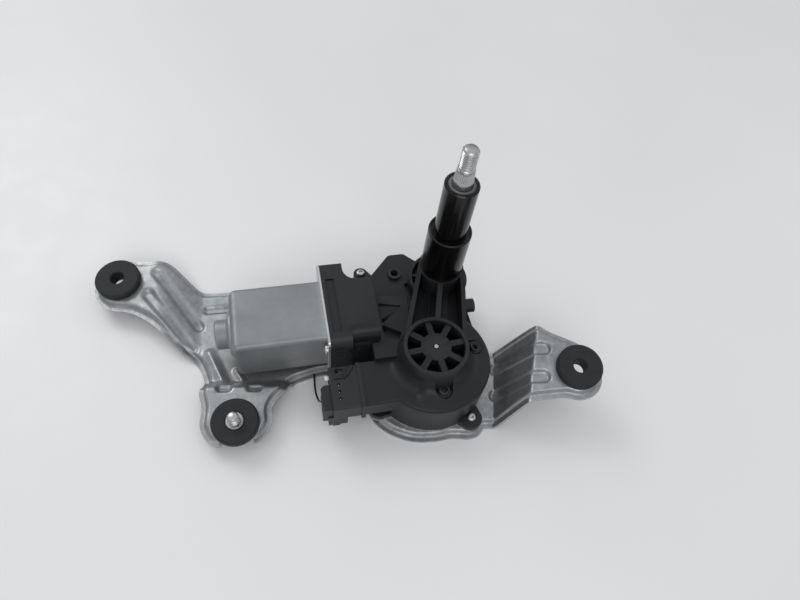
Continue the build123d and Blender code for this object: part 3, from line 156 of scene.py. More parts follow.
def galvanised(name, dark, light, rough=0.38):
    """Zinc coated sheet: soft spangle, fine grain, duller patches, and a painted highlight along convex
    edges.
    """
    n = Nodes(name)
    grey = n.add("ShaderNodeRGBToBW")
    n.link(n.cell_colours(420.0), grey.inputs[0])
    cloud = n.noise(38.0, 5.0, 0.6)
    mottle = n.noise(230.0, 5.0, 0.65)
    tone = n.math("ADD", n.math("MULTIPLY", grey.outputs[0], 0.12), n.math("MULTIPLY", cloud, 0.46))
    tone = n.math("ADD", tone, n.math("MULTIPLY", mottle, 0.42))
    # Painted highlight: convex edges and rims are painted lighter.
    tone = n.math("ADD", tone, n.math("MULTIPLY", n.edges(0.52, 0.60), 0.22))
    middle = tuple((a + b) / 2 for a, b in zip(dark, light))
    colour = n.ramp(tone, (0.3, dark), (0.5, middle), (0.7, light))
    n.link(colour, n.bsdf.inputs["Base Color"])
    n.bsdf.inputs["Metallic"].default_value = 0.8
    n.link(n.span(tone, 0.3, 0.75, rough + 0.12, rough - 0.08), n.bsdf.inputs["Roughness"])
    n.bump(n.noise(1400.0, 3.0, 0.6), 0.25, 0.00004)
    n.bump(n.noise(120.0, 3.0, 0.5), 0.4, 0.0002)
    return n.mat


def drawn_steel(name, colour):
    """Matt grey coated yoke: even tone with a few scuffs that run along the drawing direction."""
    n = Nodes(name)
    cloud = n.noise(55.0, 5.0, 0.6)
    scuff = n.noise(150.0, 6.0, 0.7, n.stretch(0.35, 1.4, 1.4))
    marks = n.span(scuff, 0.62, 0.75, 0.0, 1.0)
    base = n.ramp(cloud, (0.3, tuple(c * 0.86 for c in colour)), (0.7, tuple(c * 1.08 for c in colour)))
    bare = n.mix(n.math("MULTIPLY", marks, 0.35), base, tuple(c * 1.9 for c in colour))
    # Convex edges painted lighter: partly edge wear, partly a painted highlight along the crisp creases.
    n.link(n.mix(n.math("MULTIPLY", n.edges(0.51, 0.58), 0.5), bare, tuple(c * 1.7 for c in colour)),
           n.bsdf.inputs["Base Color"])
    n.bsdf.inputs["Metallic"].default_value = 0.55
    n.link(n.span(scuff, 0.4, 0.8, 0.5, 0.34), n.bsdf.inputs["Roughness"])
    n.bump(n.noise(1500.0, 3.0, 0.6), 0.2, 0.00003)
    n.bump(n.noise(60.0, 3.0, 0.5), 0.25, 0.0002)
    return n.mat


def metal(name, colour, rough, grain=900.0, along=(1.0, 1.0, 1.0), metallic=1.0, specular=0.5):
    """Plain metal or gloss paint with a fine grain and slight tarnish."""
    n = Nodes(name)
    fine = n.noise(grain, 4.0, 0.6, n.stretch(*along))
    cloud = n.noise(70.0, 4.0, 0.6)
    dark = tuple(c * 0.82 for c in colour)
    n.link(n.ramp(cloud, (0.35, dark), (0.65, colour)), n.bsdf.inputs["Base Color"])
    n.bsdf.inputs["Metallic"].default_value = metallic
    n.bsdf.inputs["Specular IOR Level"].default_value = specular
    n.link(n.span(fine, 0.3, 0.7, rough * 0.75, rough * 1.3), n.bsdf.inputs["Roughness"])
    n.bump(fine, 0.25, 0.00003)
    return n.mat


def plastic(name, colour, rough, lift=1.25):
    """Moulded plastic with a fine spark-eroded grain and a painted highlight that makes convex edges a little
    lighter.
    """
    n = Nodes(name)
    cloud = n.noise(45.0, 5.0, 0.6)
    light = tuple(min(1.0, c * lift) for c in colour)
    base = n.ramp(cloud, (0.38, colour), (0.66, light))
    # Painted highlight: convex edges are painted lighter.
    edge_highlight = tuple(min(1.0, c * 2.1) for c in colour)
    n.link(n.mix(n.math("MULTIPLY", n.edges(0.51, 0.58), 0.55), base, edge_highlight), n.bsdf.inputs["Base Color"])
    n.link(n.span(cloud, 0.3, 0.7, rough - 0.05, rough + 0.06), n.bsdf.inputs["Roughness"])
    n.bsdf.inputs["Specular IOR Level"].default_value = 0.28
    n.bump(n.noise(2200.0, 3.0, 0.55), 0.35, 0.00004)
    return n.mat


def rubber(name, colour):
    """Moulded rubber with a dusty bloom."""
    n = Nodes(name)
    bloom = n.noise(160.0, 6.0, 0.65)
    light = tuple(c * 1.7 for c in colour)
    n.link(n.ramp(bloom, (0.4, colour), (0.72, light)), n.bsdf.inputs["Base Color"])
    n.link(n.span(bloom, 0.3, 0.7, 0.56, 0.70), n.bsdf.inputs["Roughness"])
    n.bsdf.inputs["Specular IOR Level"].default_value = 0.3
    n.bump(n.noise(1500.0, 4.0, 0.6), 0.3, 0.00006)
    return n.mat


MATERIALS = {
    "galvanised_steel": galvanised("galvanised_steel", (0.20, 0.21, 0.215), (0.42, 0.43, 0.435)),
    "can_steel": drawn_steel("can_steel", (0.235, 0.245, 0.252)),
    "housing_plastic": plastic("housing_plastic", (0.0112, 0.0118, 0.0130), 0.4),
    "connector_plastic": plastic("connector_plastic", (0.0125, 0.0132, 0.0148), 0.38),
    "tube_black": metal("tube_black", (0.0035, 0.0035, 0.0038), 0.17, 500.0, metallic=0.0, specular=0.32),
    "grommet_rubber": rubber("grommet_rubber", (0.013, 0.0145, 0.0155)),
    "seal_rubber": rubber("seal_rubber", (0.10, 0.10, 0.105)),
    "bright_steel": metal("bright_steel", (0.5, 0.5, 0.505), 0.28),
    "screw_steel": metal("screw_steel", (0.56, 0.56, 0.545), 0.3),
    "shaft_steel": metal("shaft_steel", (0.6, 0.6, 0.61), 0.24, 900.0, (0.2, 2.0, 2.0)),
    "sintered_bronze": metal("sintered_bronze", (0.55, 0.35, 0.16), 0.5),
    "gear_nylon": plastic("gear_nylon", (0.72, 0.70, 0.62), 0.4, lift=1.1),
    "magnet_ferrite": plastic("magnet_ferrite", (0.06, 0.06, 0.066), 0.55),
    "core_steel": metal("core_steel", (0.33, 0.33, 0.35), 0.4, 2500.0, (3.0, 0.05, 0.05)),
    "copper": metal("copper", (0.66, 0.27, 0.12), 0.3, 1500.0, (1.0, 3.0, 3.0)),
    "commutator_copper": metal("commutator_copper", (0.72, 0.38, 0.22), 0.3, 1500.0, (4.0, 0.3, 0.3)),
    "brush_carbon": plastic("brush_carbon", (0.03, 0.03, 0.032), 0.5),
    "brush_plastic": plastic("brush_plastic", (0.13, 0.06, 0.035), 0.45),
    "spring_steel": metal("spring_steel", (0.5, 0.5, 0.51), 0.28),
    "tin_plate": metal("tin_plate", (0.75, 0.75, 0.74), 0.25),
    "flange_steel": galvanised("flange_steel", (0.36, 0.365, 0.37), (0.6, 0.61, 0.61), 0.3),
}

for entry in frame["record"]["subparts"]:
    node = frame["nodes"][entry["node"]]
    node.data.materials.clear()
    node.data.materials.append(MATERIALS[entry["material_slot"]])


# ---------------------------------------------------------------- mesh helpers
def add_object(name, data):
    obj = bpy.data.objects.new(name, data)
    bpy.context.scene.collection.objects.link(obj)
    return obj


def finish_mesh(obj, slot, angle, look=None):
    """Applies modifiers, shades smooth with sharp creases, gives the slot's material or another look."""
    depsgraph = bpy.context.evaluated_depsgraph_get()
    mesh = bpy.data.meshes.new_from_object(obj.evaluated_get(depsgraph))
    obj.modifiers.clear()
    obj.data = mesh
    for polygon in mesh.polygons:
        polygon.use_smooth = True
    mesh.set_sharp_from_angle(angle=math.radians(angle))
    mesh.materials.clear()
    mesh.materials.append(MATERIALS[look or slot])


def turned(name, rows, steps, radius, slot, body, angle):
    """Closed solid about the Z axis whose radius(z, turn) may vary; sizes in mm from the seat."""
    points = []
    for z in rows:
        for step in range(steps):
            turn = 2 * math.pi * step / steps
            r = radius(z, turn)
            points.append((r * math.cos(turn) * MM, r * math.sin(turn) * MM, z * MM))
    mesh = bpy.data.meshes.new(name)
    mesh.from_pydata(points, [], ring_faces(len(rows), steps))
    obj = add_object(name, mesh)
    finish_mesh(obj, slot, angle)
    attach(obj, body)
    return obj


def bench(x, y, z):
    """Scene position of a point given in mm with its height above the bench."""
    return (x * MM, y * MM, (z - SEAT) * MM)


def build(name, points, faces, slot, body="base", angle=40.0, thickness=None, look=None):
    """Piece from points in mm above the bench; an open surface is thickened inward."""
    mesh = bpy.data.meshes.new(name)
    mesh.from_pydata([bench(*point) for point in points], [], faces)
    obj = add_object(name, mesh)
    if thickness:
        solid = obj.modifiers.new("thickness", "SOLIDIFY")
        solid.thickness = thickness * MM
        solid.offset = -1.0
    finish_mesh(obj, slot, angle, look)
    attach(obj, body)
    return obj


def ring_faces(rings, count, capped=True):
    """Quads between rings of count points each, with a face over each end unless it is left open."""
    faces = []
    for ring in range(rings - 1):
        for step in range(count):
            a, b = ring * count + step, ring * count + (step + 1) % count
            faces.append((a, b, b + count, a + count))
    if capped:
        faces.append(tuple(reversed(range(count))))
        faces.append(tuple(range((rings - 1) * count, rings * count)))
    return faces


def axis_frame(origin, direction):
    """Function that places (x, y, z) with z along direction, in mm above the bench."""
    turn = Vector(direction).normalized().to_track_quat("Z", "Y").to_matrix()
    base = Vector(origin)
    return lambda x, y, z: tuple(base + turn @ Vector((x, y, z)))


def lathe(profile, steps, place):
    """Points and faces of a solid about the local Z axis; profile rows are (radius, z, lobe depth)."""
    points = []
    for radius, z, lobe in profile:
        for step in range(steps):
            turn = 2 * math.pi * step / steps
            r = radius - lobe * (0.5 + 0.5 * math.cos(6 * turn))
            points.append(place(r * math.cos(turn), r * math.sin(turn), z))
    return points, ring_faces(len(profile), steps)


def join(parts):
    """One list of points and one of faces from several (points, faces) pairs."""
    points, faces = [], []
    for more, extra in parts:
        start = len(points)
        points += more
        faces += [tuple(index + start for index in face) for face in extra]
    return points, faces


# ---------------------------------------------------------------- spindle
THREAD_TOP = 12.0
THREAD_RADIUS = 4.0
THREAD_PITCH = 1.25
THREAD_DEPTH = 0.62
THREAD_START = 0.4    # height where the thread begins, mm above the seat
THREAD_FADE = 0.8     # height over which it reaches its depth
THREAD_CHAMFER = 1.0
THREAD_ROWS = 120
SPINDLE_RADIUS = 4.95
CONE_TOP = 4.3
CONE_LENGTH = 7.0
KNURLS = 36
KNURL_DEPTH = 0.24
KNURL_SPAN = (0.04, 0.93)     # share of the cone's length that they take up
KNURL_FADE = 12               # how steeply they fade at its ends
KNURL_ROWS = 16


def thread_ridge(z, turn, pitch):
    """1 on a thread's crest and 0 at its root, with flats on both."""
    phase = (z / pitch - turn / (2 * math.pi)) % 1.0
    return min(1.0, max(0.0, 1.35 - abs(phase - 0.5) * 3.4))


def thread_radius(z, turn):
    """Thread that starts just above the seat and is chamfered at its tip."""
    depth = THREAD_DEPTH * (1.0 - thread_ridge(z, turn, THREAD_PITCH))
    fade = min(1.0, max(0.0, (z - THREAD_START) / THREAD_FADE))
    tip = THREAD_RADIUS - max(0.0, z - (THREAD_TOP - THREAD_CHAMFER))
    return min(THREAD_RADIUS - depth * fade, tip)


def knurl_radius(z, turn):
    """Cone under the seat, with knurls that fade out at both of its ends."""
    share = -z / CONE_LENGTH
    radius = CONE_TOP + (SPINDLE_RADIUS - CONE_TOP) * share
    fade = min(1.0, max(0.0, (share - KNURL_SPAN[0]) * KNURL_FADE))
    fade *= min(1.0, max(0.0, (KNURL_SPAN[1] - share) * KNURL_FADE))
    return radius - KNURL_DEPTH * fade * abs(math.sin(turn * KNURLS / 2)) ** 0.7


def spindle_radius(z, turn):
    """Thread above the seat, knurled cone under it, and plain shaft below that."""
    if z > 0.001:
        return thread_radius(z, turn)
    if z > -CONE_LENGTH:
        return knurl_radius(z, turn)
    return SPINDLE_RADIUS


def spindle():
    foot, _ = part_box("spindle")
    rows = [foot.z / MM, -40.0, -20.0, -CONE_LENGTH]
    rows += [-CONE_LENGTH + step * CONE_LENGTH / KNURL_ROWS for step in range(1, KNURL_ROWS + 1)]
    rows += [0.002 + step * (THREAD_TOP - 0.002) / THREAD_ROWS for step in range(THREAD_ROWS + 1)]
    obj = turned("spindle_threaded", rows, 144, spindle_radius, "bright_steel", "output", 60.0)
    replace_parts(obj, "spindle")


# ---------------------------------------------------------------- pressed bracket
SHEET = 1.6           # its thickness in mm, as are all values in this section
PLATE_TOP = 4.2       # above the bench
LIP = 2.6             # width of the outward lip
LIP_DROP = 2.6        # of the lip below the top face
LIP_WALL = 1.9        # width of the step down to it
LIP_REACH = 0.3       # how far that step reaches past the outline
UPPER_FOLD, LOWER_FOLD = 1.8, 1.0     # how far the arms' folds are rounded
GRID = 0.66           # distance between the points of the sheet
GRID_X, GRID_Y = (-198.0, 84.0), (-94.0, 56.0)
SEAT_RADIUS = 8.2     # of the holes for the grommets' necks
HUB = (-12.8, -46.8)  # centre of the gear pot
POT_OPENING = 24.0    # radius of the hole under it

ARMS = {              # pad centre, pad tilt, two points of the lower fold, one of the upper
    "left": ((-177.6, 34.4, 14.8), (-0.066, -0.07), ((-134.6, 24.8), (-137.9, -17.1), (-154.6, 22.8))),
    "right": ((63.4, -66.0, 32.8), (-0.085, -0.12), ((18.4, -79.4), (30.2, -38.5), (40.8, -58.0))),
    "ear": ((-118.4, -60.4, 11.8), (-0.04, -0.07), ((-131.0, -31.5), (-97.0, -36.0), (-114.0, -41.0))),
}


def smooth_step(value):
    t = np.clip(value, 0.0, 1.0)
    return t * t * (3.0 - 2.0 * t)


def smooth_min(a, b, width):
    h = np.clip(0.5 + 0.5 * (b - a) / width, 0.0, 1.0)
    return b * (1.0 - h) + a * h - width * h * (1.0 - h)


def smooth_max(a, b, width):
    return -smooth_min(-a, -b, width)


def rounded(corners):
    """Closed outline from corners (x, y, radius), with arcs of a few points at each corner."""
    points = []
    count = len(corners)
    for i, (x, y, radius) in enumerate(corners):
        here = Vector((x, y))
        before = (Vector(corners[i - 1][:2]) - here)
        after = (Vector(corners[(i + 1) % count][:2]) - here)
        reach = min(radius, 0.48 * before.length, 0.48 * after.length)
        start, end = here + before.normalized() * reach, here + after.normalized() * reach
        steps = 5 if radius > 0 else 1
        for step in range(steps):
            t = (step + 0.5) / steps
            points.append(tuple(start * (1 - t) ** 2 + here * 2 * t * (1 - t) + end * t ** 2))
    return points


def polygon_distance(x, y, points):
    """Signed distance to a closed outline, negative inside."""
    best = np.full(x.shape, 1e9)
    inside = np.zeros(x.shape, bool)
    for (x0, y0), (x1, y1) in zip(points, points[1:] + points[:1]):
        ex, ey = x1 - x0, y1 - y0
        wx, wy = x - x0, y - y0
        t = np.clip((wx * ex + wy * ey) / (ex * ex + ey * ey), 0.0, 1.0)
        best = np.minimum(best, np.hypot(wx - ex * t, wy - ey * t))
        if ey != 0:
            inside ^= ((y0 <= y) != (y1 <= y)) & (wx < wy * ex / ey)
    return np.where(inside, -best, best)


def slot_distance(x, y, start, end, radius):
    """Signed distance to a slot with round ends, negative inside."""
    ex, ey = end[0] - start[0], end[1] - start[1]
    t = np.clip(((x - start[0]) * ex + (y - start[1]) * ey) / (ex * ex + ey * ey), 0.0, 1.0)
    return np.hypot(x - start[0] - ex * t, y - start[1] - ey * t) - radius


def pad_plane(arm, x, y):
    """Height of an arm's tilted pad."""
    (px, py, pz), (tx, ty), _ = ARMS[arm]
    return pz - tx * (x - px) - ty * (y - py)


def slope_plane(arm, x, y):
    """Height of the slope between the plate and an arm's pad."""
    _, _, ((x0, y0), (x1, y1), (x2, y2)) = ARMS[arm]
    a = Vector((x0, y0, PLATE_TOP))
    b = Vector((x1, y1, PLATE_TOP))
    c = Vector((x2, y2, float(pad_plane(arm, x2, y2))))
    normal = (b - a).cross(c - a)
    return a.z - (normal.x * (x - a.x) + normal.y * (y - a.y)) / normal.z


OUTLINE = (           # corners of the sheet inside its lip: x, y, radius
    (-117, 25.0, 8), (-135.2, 26.0, 6), (-151.4, 43.8, 6), (-158.5, 44.2, 4), (-162.5, 43.6, 6),
    (-172.0, 46.6, 10), (-182.5, 46.2, 8), (-189.0, 40.8, 8), (-189.4, 28.0, 8), (-183.8, 20.6, 8),
    (-172.0, 18.0, 5), (-160.0, 9.5, 7), (-146.5, -7.2, 4), (-137.0, -15.0, 3), (-134.0, -21.0, 4),
    (-131.8, -30.0, 2), (-132.6, -37.0, 2), (-134.2, -40.0, 3), (-132.6, -48.5, 6), (-134.5, -57.5, 6),
    (-133.4, -62.5, 5), (-130.0, -67.4, 3), (-125.4, -67.9, 2), (-111.6, -69.8, 2), (-105.6, -66.4, 4),
    (-102.2, -60.5, 6), (-102.8, -54.0, 5), (-98.8, -48.0, 5), (-93.0, -44.0, 3), (-91.3, -37.6, 3),
    (-86.0, -34.8, 4), (-70.0, -31.6, 6), (-60.0, -33.5, 6), (-51.5, -45.0, 8), (-47.2, -57.0, 9),
    (-44.5, -66.0, 9), (-37.5, -73.4, 9), (-26.5, -79.2, 9), (-14.0, -80.4, 9), (-6.0, -79.9, 5),
    (-1.0, -81.0, 4), (3.0, -82.0, 4), (8.0, -81.5, 4), (10.6, -78.4, 4), (12.3, -77.0, 3),
    (19.0, -78.2, 3), (33.8, -75.0, 5), (54.5, -76.6, 5), (60.5, -79.8, 6), (68.5, -79.0, 6),
    (73.4, -73.0, 8), (73.0, -61.5, 8), (68.0, -54.0, 8), (60.0, -48.5, 5), (52.5, -43.6, 4),
    (48.5, -38.9, 6), (40.0, -38.3, 3), (28.0, -38.3, 3), (20.5, -34.8, 4), (15.0, -22.0, 8),
    (2.0, -14.0, 8), (-2.0, 8.0, 8), (-20.0, 12.0, 8), (-34.0, 18.0, 5), (-38.0, 23.5, 5),
    (-46.0, 23.5, 5), (-50.0, 21.5, 4),
)


def bracket_distance(x, y):
    return polygon_distance(x, y, rounded(OUTLINE))


GROOVES = (           # start, end, half width, depth, width of the wall; a negative depth is a raised bead
    ((-156.5, 37.0), (-136.5, 4.5), 2.8, 1.8, 2.8),
    ((-161.8, 23.5), (-140.5, -10.0), 2.8, 1.8, 2.8),
    ((48.5, -51.5), (28.5, -47.6), 3.3, 2.3, 2.0),
    ((44.0, -66.9), (24.0, -63.4), 3.3, 2.3, 2.0),
    ((-125.2, -39.8), (-121.4, -40.3), 1.9, 2.4, 2.0),
    ((-109.6, -42.0), (-105.4, -42.6), 1.9, 2.4, 2.0),
    ((-131.0, -14.0), (-124.6, -32.5), 1.6, -2.6, 6.5),
    ((-131.0, 15.0), (-72.0, 13.0), 2.2, 1.6, 2.0),
    ((-117.0, -27.0), (-114.0, -33.5), 1.0, -1.8, 4.0),
)


def bracket_top(x, y):
    """Height of the sheet's top face: plate, folded arms, grooves, beads and lip."""
    height = np.full(x.shape, PLATE_TOP)
    limits = {"left": x < -125.0, "right": x > 8.0, "ear": (x > -140.0) & (x < -86.0) & (y < -26.0)}
    for arm in ARMS:
        raised = smooth_min(slope_plane(arm, x, y), pad_plane(arm, x, y), UPPER_FOLD)
        height = np.where(limits[arm], smooth_max(height, raised, LOWER_FOLD), height)
    for start, end, half, depth, wall in GROOVES:
        height = height - depth * smooth_step((wall / 2 - slot_distance(x, y, start, end, half)) / wall)
    edge = bracket_distance(x, y)
    return height - LIP_DROP * smooth_step((edge + LIP_WALL - LIP_REACH) / LIP_WALL)


HOLES = [(x, y, SEAT_RADIUS) for (x, y, _), _, _ in ARMS.values()] + [(*HUB, POT_OPENING)]


def bracket_cut(x, y):
    """Negative where there is sheet; the ear's hole is open on its near side."""
    cut = bracket_distance(x, y) - LIP
    for hx, hy, radius in HOLES:
        cut = np.maximum(cut, radius - np.hypot(x - hx, y - hy))
    ear_x, ear_y, _ = ARMS["ear"][0]
    open_side = np.maximum(np.abs(x - ear_x) - SEAT_RADIUS, y - ear_y)
    return np.maximum(cut, -open_side)


def bracket_mesh():
    """Top face of the sheet as a grid, trimmed where bracket_cut crosses zero."""
    gx, gy = np.meshgrid(np.arange(*GRID_X, GRID), np.arange(*GRID_Y, GRID))
    cut = bracket_cut(gx, gy)
    index = {}
    points = []

    def vertex(key, x, y):
        if key not in index:
            index[key] = len(points)
            points.append((x, y))
        return index[key]

    faces = []
    rows, columns = gx.shape
    for j in range(rows - 1):
        for i in range(columns - 1):
            ring = ((j, i), (j, i + 1), (j + 1, i + 1), (j + 1, i))
            values = [cut[a] for a in ring]
            if min(values) >= 0:
                continue
            face = []
            for k in range(4):
                a, b = ring[k], ring[(k + 1) % 4]
                va, vb = values[k], values[(k + 1) % 4]
                if va < 0:
                    face.append(vertex(a, gx[a], gy[a]))
                if (va < 0) != (vb < 0):
                    t = va / (va - vb)
                    key = (min(a, b), max(a, b))
                    face.append(vertex(key, gx[a] + (gx[b] - gx[a]) * t, gy[a] + (gy[b] - gy[a]) * t))
            if len(face) > 2:
                faces.append(face)
    flat = np.array(points)
    height = bracket_top(flat[:, 0], flat[:, 1])
    mesh = bpy.data.meshes.new("bracket_sheet")
    top = np.column_stack((flat, height - SEAT)) * MM
    mesh.from_pydata(top.tolist(), [], faces)
    return mesh


def sheet_bracket():
    obj = add_object("bracket_sheet", bracket_mesh())
    solid = obj.modifiers.new("sheet", "SOLIDIFY")
    solid.thickness = SHEET * MM
    solid.offset = -1.0
    solid.use_even_offset = False
    finish_mesh(obj, "galvanised_steel", 78.0)
    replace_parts(obj, "mounting_bracket")
    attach(obj, "base")


# ---------------------------------------------------------------- motor can and screws
CAN_LEFT, CAN_RIGHT = -116.0, -67.6
CAN_Y, CAN_Z = -14.0, 24.0
CAN_WIDTH, CAN_HEIGHT = 37.0, 30.5
CAN_CORNER = 2.7
CAN_END_ROUND = 3.4
CAN_WALL = 1.6
CAN_INSET = 0.05              # of the shell's outside from the can's full size
BEARING_RADIUS = 5.4
NOSE_FOOT = 2.0               # how far inside the can's end its profile starts
NOSE = (                      # radius, height outward from there, lobe depth
    (0.3, 9.3, 0), (BEARING_RADIUS, 9.3, 0), (BEARING_RADIUS, 0.5, 0), (12.6, 0.5, 0), (12.6, 2.6, 0),
    (12.3, 3.2, 0), (11.5, 3.6, 0), (9.0, 3.7, 0), (8.3, 4.1, 0), (8.0, 4.9, 0), (8.0, 9.6, 0),
    (7.8, 10.3, 0), (7.2, 10.8, 0), (6.4, 11.0, 0), (2.4, 11.0, 0), (2.2, 10.8, 0),
)
FLANGE_RIGHT = -66.2
FLANGE_NEAR, FLANGE_FAR = -38.5, 13.2
FLANGE_BOTTOM, FLANGE_TOP = 8.0, 42.6
FLANGE_CORNER = 3.0
FLANGE_CHAMFER = 0.25
FLANGE_OPENING = 1.7          # inset of its opening from the can's full size
CORNER_STEPS = 8
SIDE_SHARES = (0.02, 0.08, 0.3, 0.5, 0.7, 0.92, 0.98)     # extra points along each straight side
SECTION_POINTS = 4 * (CORNER_STEPS + 1 + len(SIDE_SHARES))


def section(x, y0, y1, z0, z1, corner):
    """Rounded rectangle across the motor's axis, with extra points beside each corner."""
    ring = []
    centres = ((y1 - corner, z1 - corner), (y0 + corner, z1 - corner), (y0 + corner, z0 + corner),
               (y1 - corner, z0 + corner))
    for quarter, (y, z) in enumerate(centres):
        for step in range(CORNER_STEPS + 1):
            turn = math.radians(quarter * 90 + step * 90 / CORNER_STEPS)
            ring.append((x, y + corner * math.cos(turn), z + corner * math.sin(turn)))
        end = Vector(ring[-1])
        next_y, next_z = centres[(quarter + 1) % 4]
        turn = math.radians(quarter * 90 + 90)
        run = Vector((x, next_y + corner * math.cos(turn), next_z + corner * math.sin(turn))) - end
        for share in SIDE_SHARES:
            ring.append(tuple(end + run * share))
    return ring


def can_section(x, inset):
    half_y, half_z = CAN_WIDTH / 2 - inset, CAN_HEIGHT / 2 - inset
    return section(x, CAN_Y - half_y, CAN_Y + half_y, CAN_Z - half_z, CAN_Z + half_z, CAN_CORNER)


def flange_section(x, inset):
    return section(x, FLANGE_NEAR + inset, FLANGE_FAR - inset, FLANGE_BOTTOM + inset, FLANGE_TOP - inset,
                   FLANGE_CORNER)


def bearing_hole(x):
    """Round hole for the shaft, with points at the same angles as the can's section."""
    ring = []
    for _, y, z in can_section(x, CAN_END_ROUND):
        turn = math.atan2(z - CAN_Z, y - CAN_Y)
        ring.append((x, CAN_Y + BEARING_RADIUS * math.cos(turn), CAN_Z + BEARING_RADIUS * math.sin(turn)))
    return ring


def motor_can():
    """Drawn yoke with crisp long edges and a rounded end, its bearing nose, and the flange."""
    rings = [bearing_hole(CAN_LEFT), can_section(CAN_LEFT, CAN_END_ROUND + 1.2)]
    for step in range(CORNER_STEPS + 1):
        turn = math.radians(step * 90 / CORNER_STEPS)
        x = CAN_LEFT + CAN_END_ROUND * (1 - math.cos(turn))
        rings.append(can_section(x, CAN_INSET + CAN_END_ROUND * (1 - math.sin(turn))))
    for x in (CAN_LEFT + 4.2, CAN_LEFT + 6.0, -105.0, -95.0, -85.0, -75.0, CAN_RIGHT - 2.0, CAN_RIGHT):
        rings.append(can_section(x, CAN_INSET))
    points = [point for ring in rings for point in ring]
    shell = build("can_shell", points, ring_faces(len(rings), SECTION_POINTS, capped=False), "can_steel",
                  angle=60.0, thickness=CAN_WALL)
    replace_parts(shell, "motor_can")
    place = axis_frame((CAN_LEFT + NOSE_FOOT, CAN_Y, CAN_Z), (-1, 0, 0))
    build("can_nose", *lathe(NOSE, 72, place), "can_steel", angle=50.0)

    edge = FLANGE_CHAMFER
    rings = [flange_section(x, inset) for x, inset in
             ((CAN_RIGHT, edge), (CAN_RIGHT + edge, 0.0), (FLANGE_RIGHT - edge, 0.0), (FLANGE_RIGHT, edge))]
    rings += [can_section(x, FLANGE_OPENING) for x in (FLANGE_RIGHT, CAN_RIGHT)]
    points = [point for ring in rings for point in ring]
    faces = ring_faces(len(rings), SECTION_POINTS, capped=False)
    last = (len(rings) - 1) * SECTION_POINTS
    for k in range(SECTION_POINTS):
        after = (k + 1) % SECTION_POINTS
        faces.append((last + k, last + after, after, k))
    build("can_flange", points, faces, "can_steel", angle=30.0, look="flange_steel")


LOBE_SCREWS = ((5.07, -75.73, 9.5), (-43.36, -61.7, 9.5), (-40.8, 18.8, 20.0))    # under their heads
FLANGE_SCREWS = ((CAN_RIGHT, -35.5, 32.5), (CAN_RIGHT, 8.6, 15.5))
HEAD_HEIGHT, SHANK_RADIUS = 1.9, 1.6


def screw(origin, direction, head_radius, shank):
    """Pan-head screw with a six-lobed recess; its head sits on origin."""
    place = axis_frame(origin, direction)
    head = HEAD_HEIGHT
    profile = [(SHANK_RADIUS, -shank, 0), (SHANK_RADIUS, 0, 0), (head_radius, 0, 0),
               (head_radius, head * 0.45, 0), (head_radius * 0.93, head * 0.72, 0),
               (head_radius * 0.78, head * 0.92, 0), (head_radius * 0.62, head, 0),
               (head_radius * 0.52, head, 0.28), (head_radius * 0.5, head - 0.9, 0.28),
               (0.25, head - 1.05, 0)]
    return lathe(profile, 48, place)


def screws():
    parts = [screw(spot, (0, 0, 1), 2.45, spot[2] - 0.7) for spot in LOBE_SCREWS]
    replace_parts(build("lobe_screws", *join(parts), "screw_steel", angle=35.0), "housing_screws")
    parts = [screw(spot, (-1, 0, 0), 2.6, 8.0) for spot in FLANGE_SCREWS]
    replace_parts(build("flange_screws", *join(parts), "screw_steel", angle=35.0), "can_screws")


EAR_CENTRE, EAR_TILT, _ = ARMS["ear"]
STUD_RADIUS, STUD_PITCH, STUD_DEPTH = 3.0, 1.0, 0.5     # of the thread
STUD_SHANK = 5.0              # half the plain shank's length; the thread starts at its upper end
STUD_RISE = 5.9               # length of the thread
STUD_CHAMFER = 0.8
STUD_ROWS = 60


def ear_stud():
    """M6 stud: head under the ear, plain shank in the sleeve, thread above it."""
    steps = 96
    place = axis_frame(EAR_CENTRE, (*EAR_TILT, 1.0))
    rows = [(6.0, -7.2), (6.0, -STUD_SHANK), (3.4, -STUD_SHANK), (3.4, STUD_SHANK)]     # radius and height
    turns = [2 * math.pi * step / steps for step in range(steps)]
    points = []
    for radius, z in rows:
        points += [place(radius * math.cos(turn), radius * math.sin(turn), z) for turn in turns]
    for row in range(STUD_ROWS + 1):
        z = STUD_SHANK + STUD_RISE * row / STUD_ROWS
        for turn in turns:
            crest = STUD_RADIUS - STUD_DEPTH * (1.0 - thread_ridge(z, turn, STUD_PITCH))
            radius = min(crest, STUD_RADIUS - max(0.0, z - STUD_SHANK - STUD_RISE + STUD_CHAMFER))
            points.append(place(radius * math.cos(turn), radius * math.sin(turn), z))
    faces = ring_faces(len(rows) + STUD_ROWS + 1, steps)
    stud = build("stud_threaded", points, faces, "bright_steel", angle=60.0)
    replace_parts(stud, "ear_stud")


# ---------------------------------------------------------------- roof of the gear pot
ROOF_EDGE = (29.3, 30.0)      # radius and height where the roof rolls over
ROOF_TOP = (17.5, 40.0)       # where it runs up into the hub
ROOF_RISE = 3.0               # of the plain slope, before the hollow that runs up into the hub
SEAM = (-125.0, -112.0)       # angles between which the slope fades into the flat connector arm
ROOF_SPAN = (-215.0, 52.0)    # angles that the roof covers
ROOF_COLUMNS, ROOF_ROWS = 480, 64
ROOF_BOSSES = ((-11.9, -67.2, 3.1, 1.5), (10.9, -44.6, 2.9, 1.3))   # x, y, radius, hole radius
RIM_TOP, RIM_RISE = 33.0, 0.2     # greatest height of a moat's rim, and its rise over the roof
RIM_REACH, MOAT_REACH = 1.9, 1.5  # distance of the rim's and the moat's outer wall from the boss
MOAT_LENGTH, MOAT_DEPTH = 8.0, 1.9
BOSS_RISE, BOSS_HOLE = 2.0, 1.7   # height over the moat's floor, and depth of its hole
WALL = 0.5                    # width over which these heights change


def ease(value):
    """smooth_step for a single number."""
    t = min(1.0, max(0.0, value))
    return t * t * (3.0 - 2.0 * t)


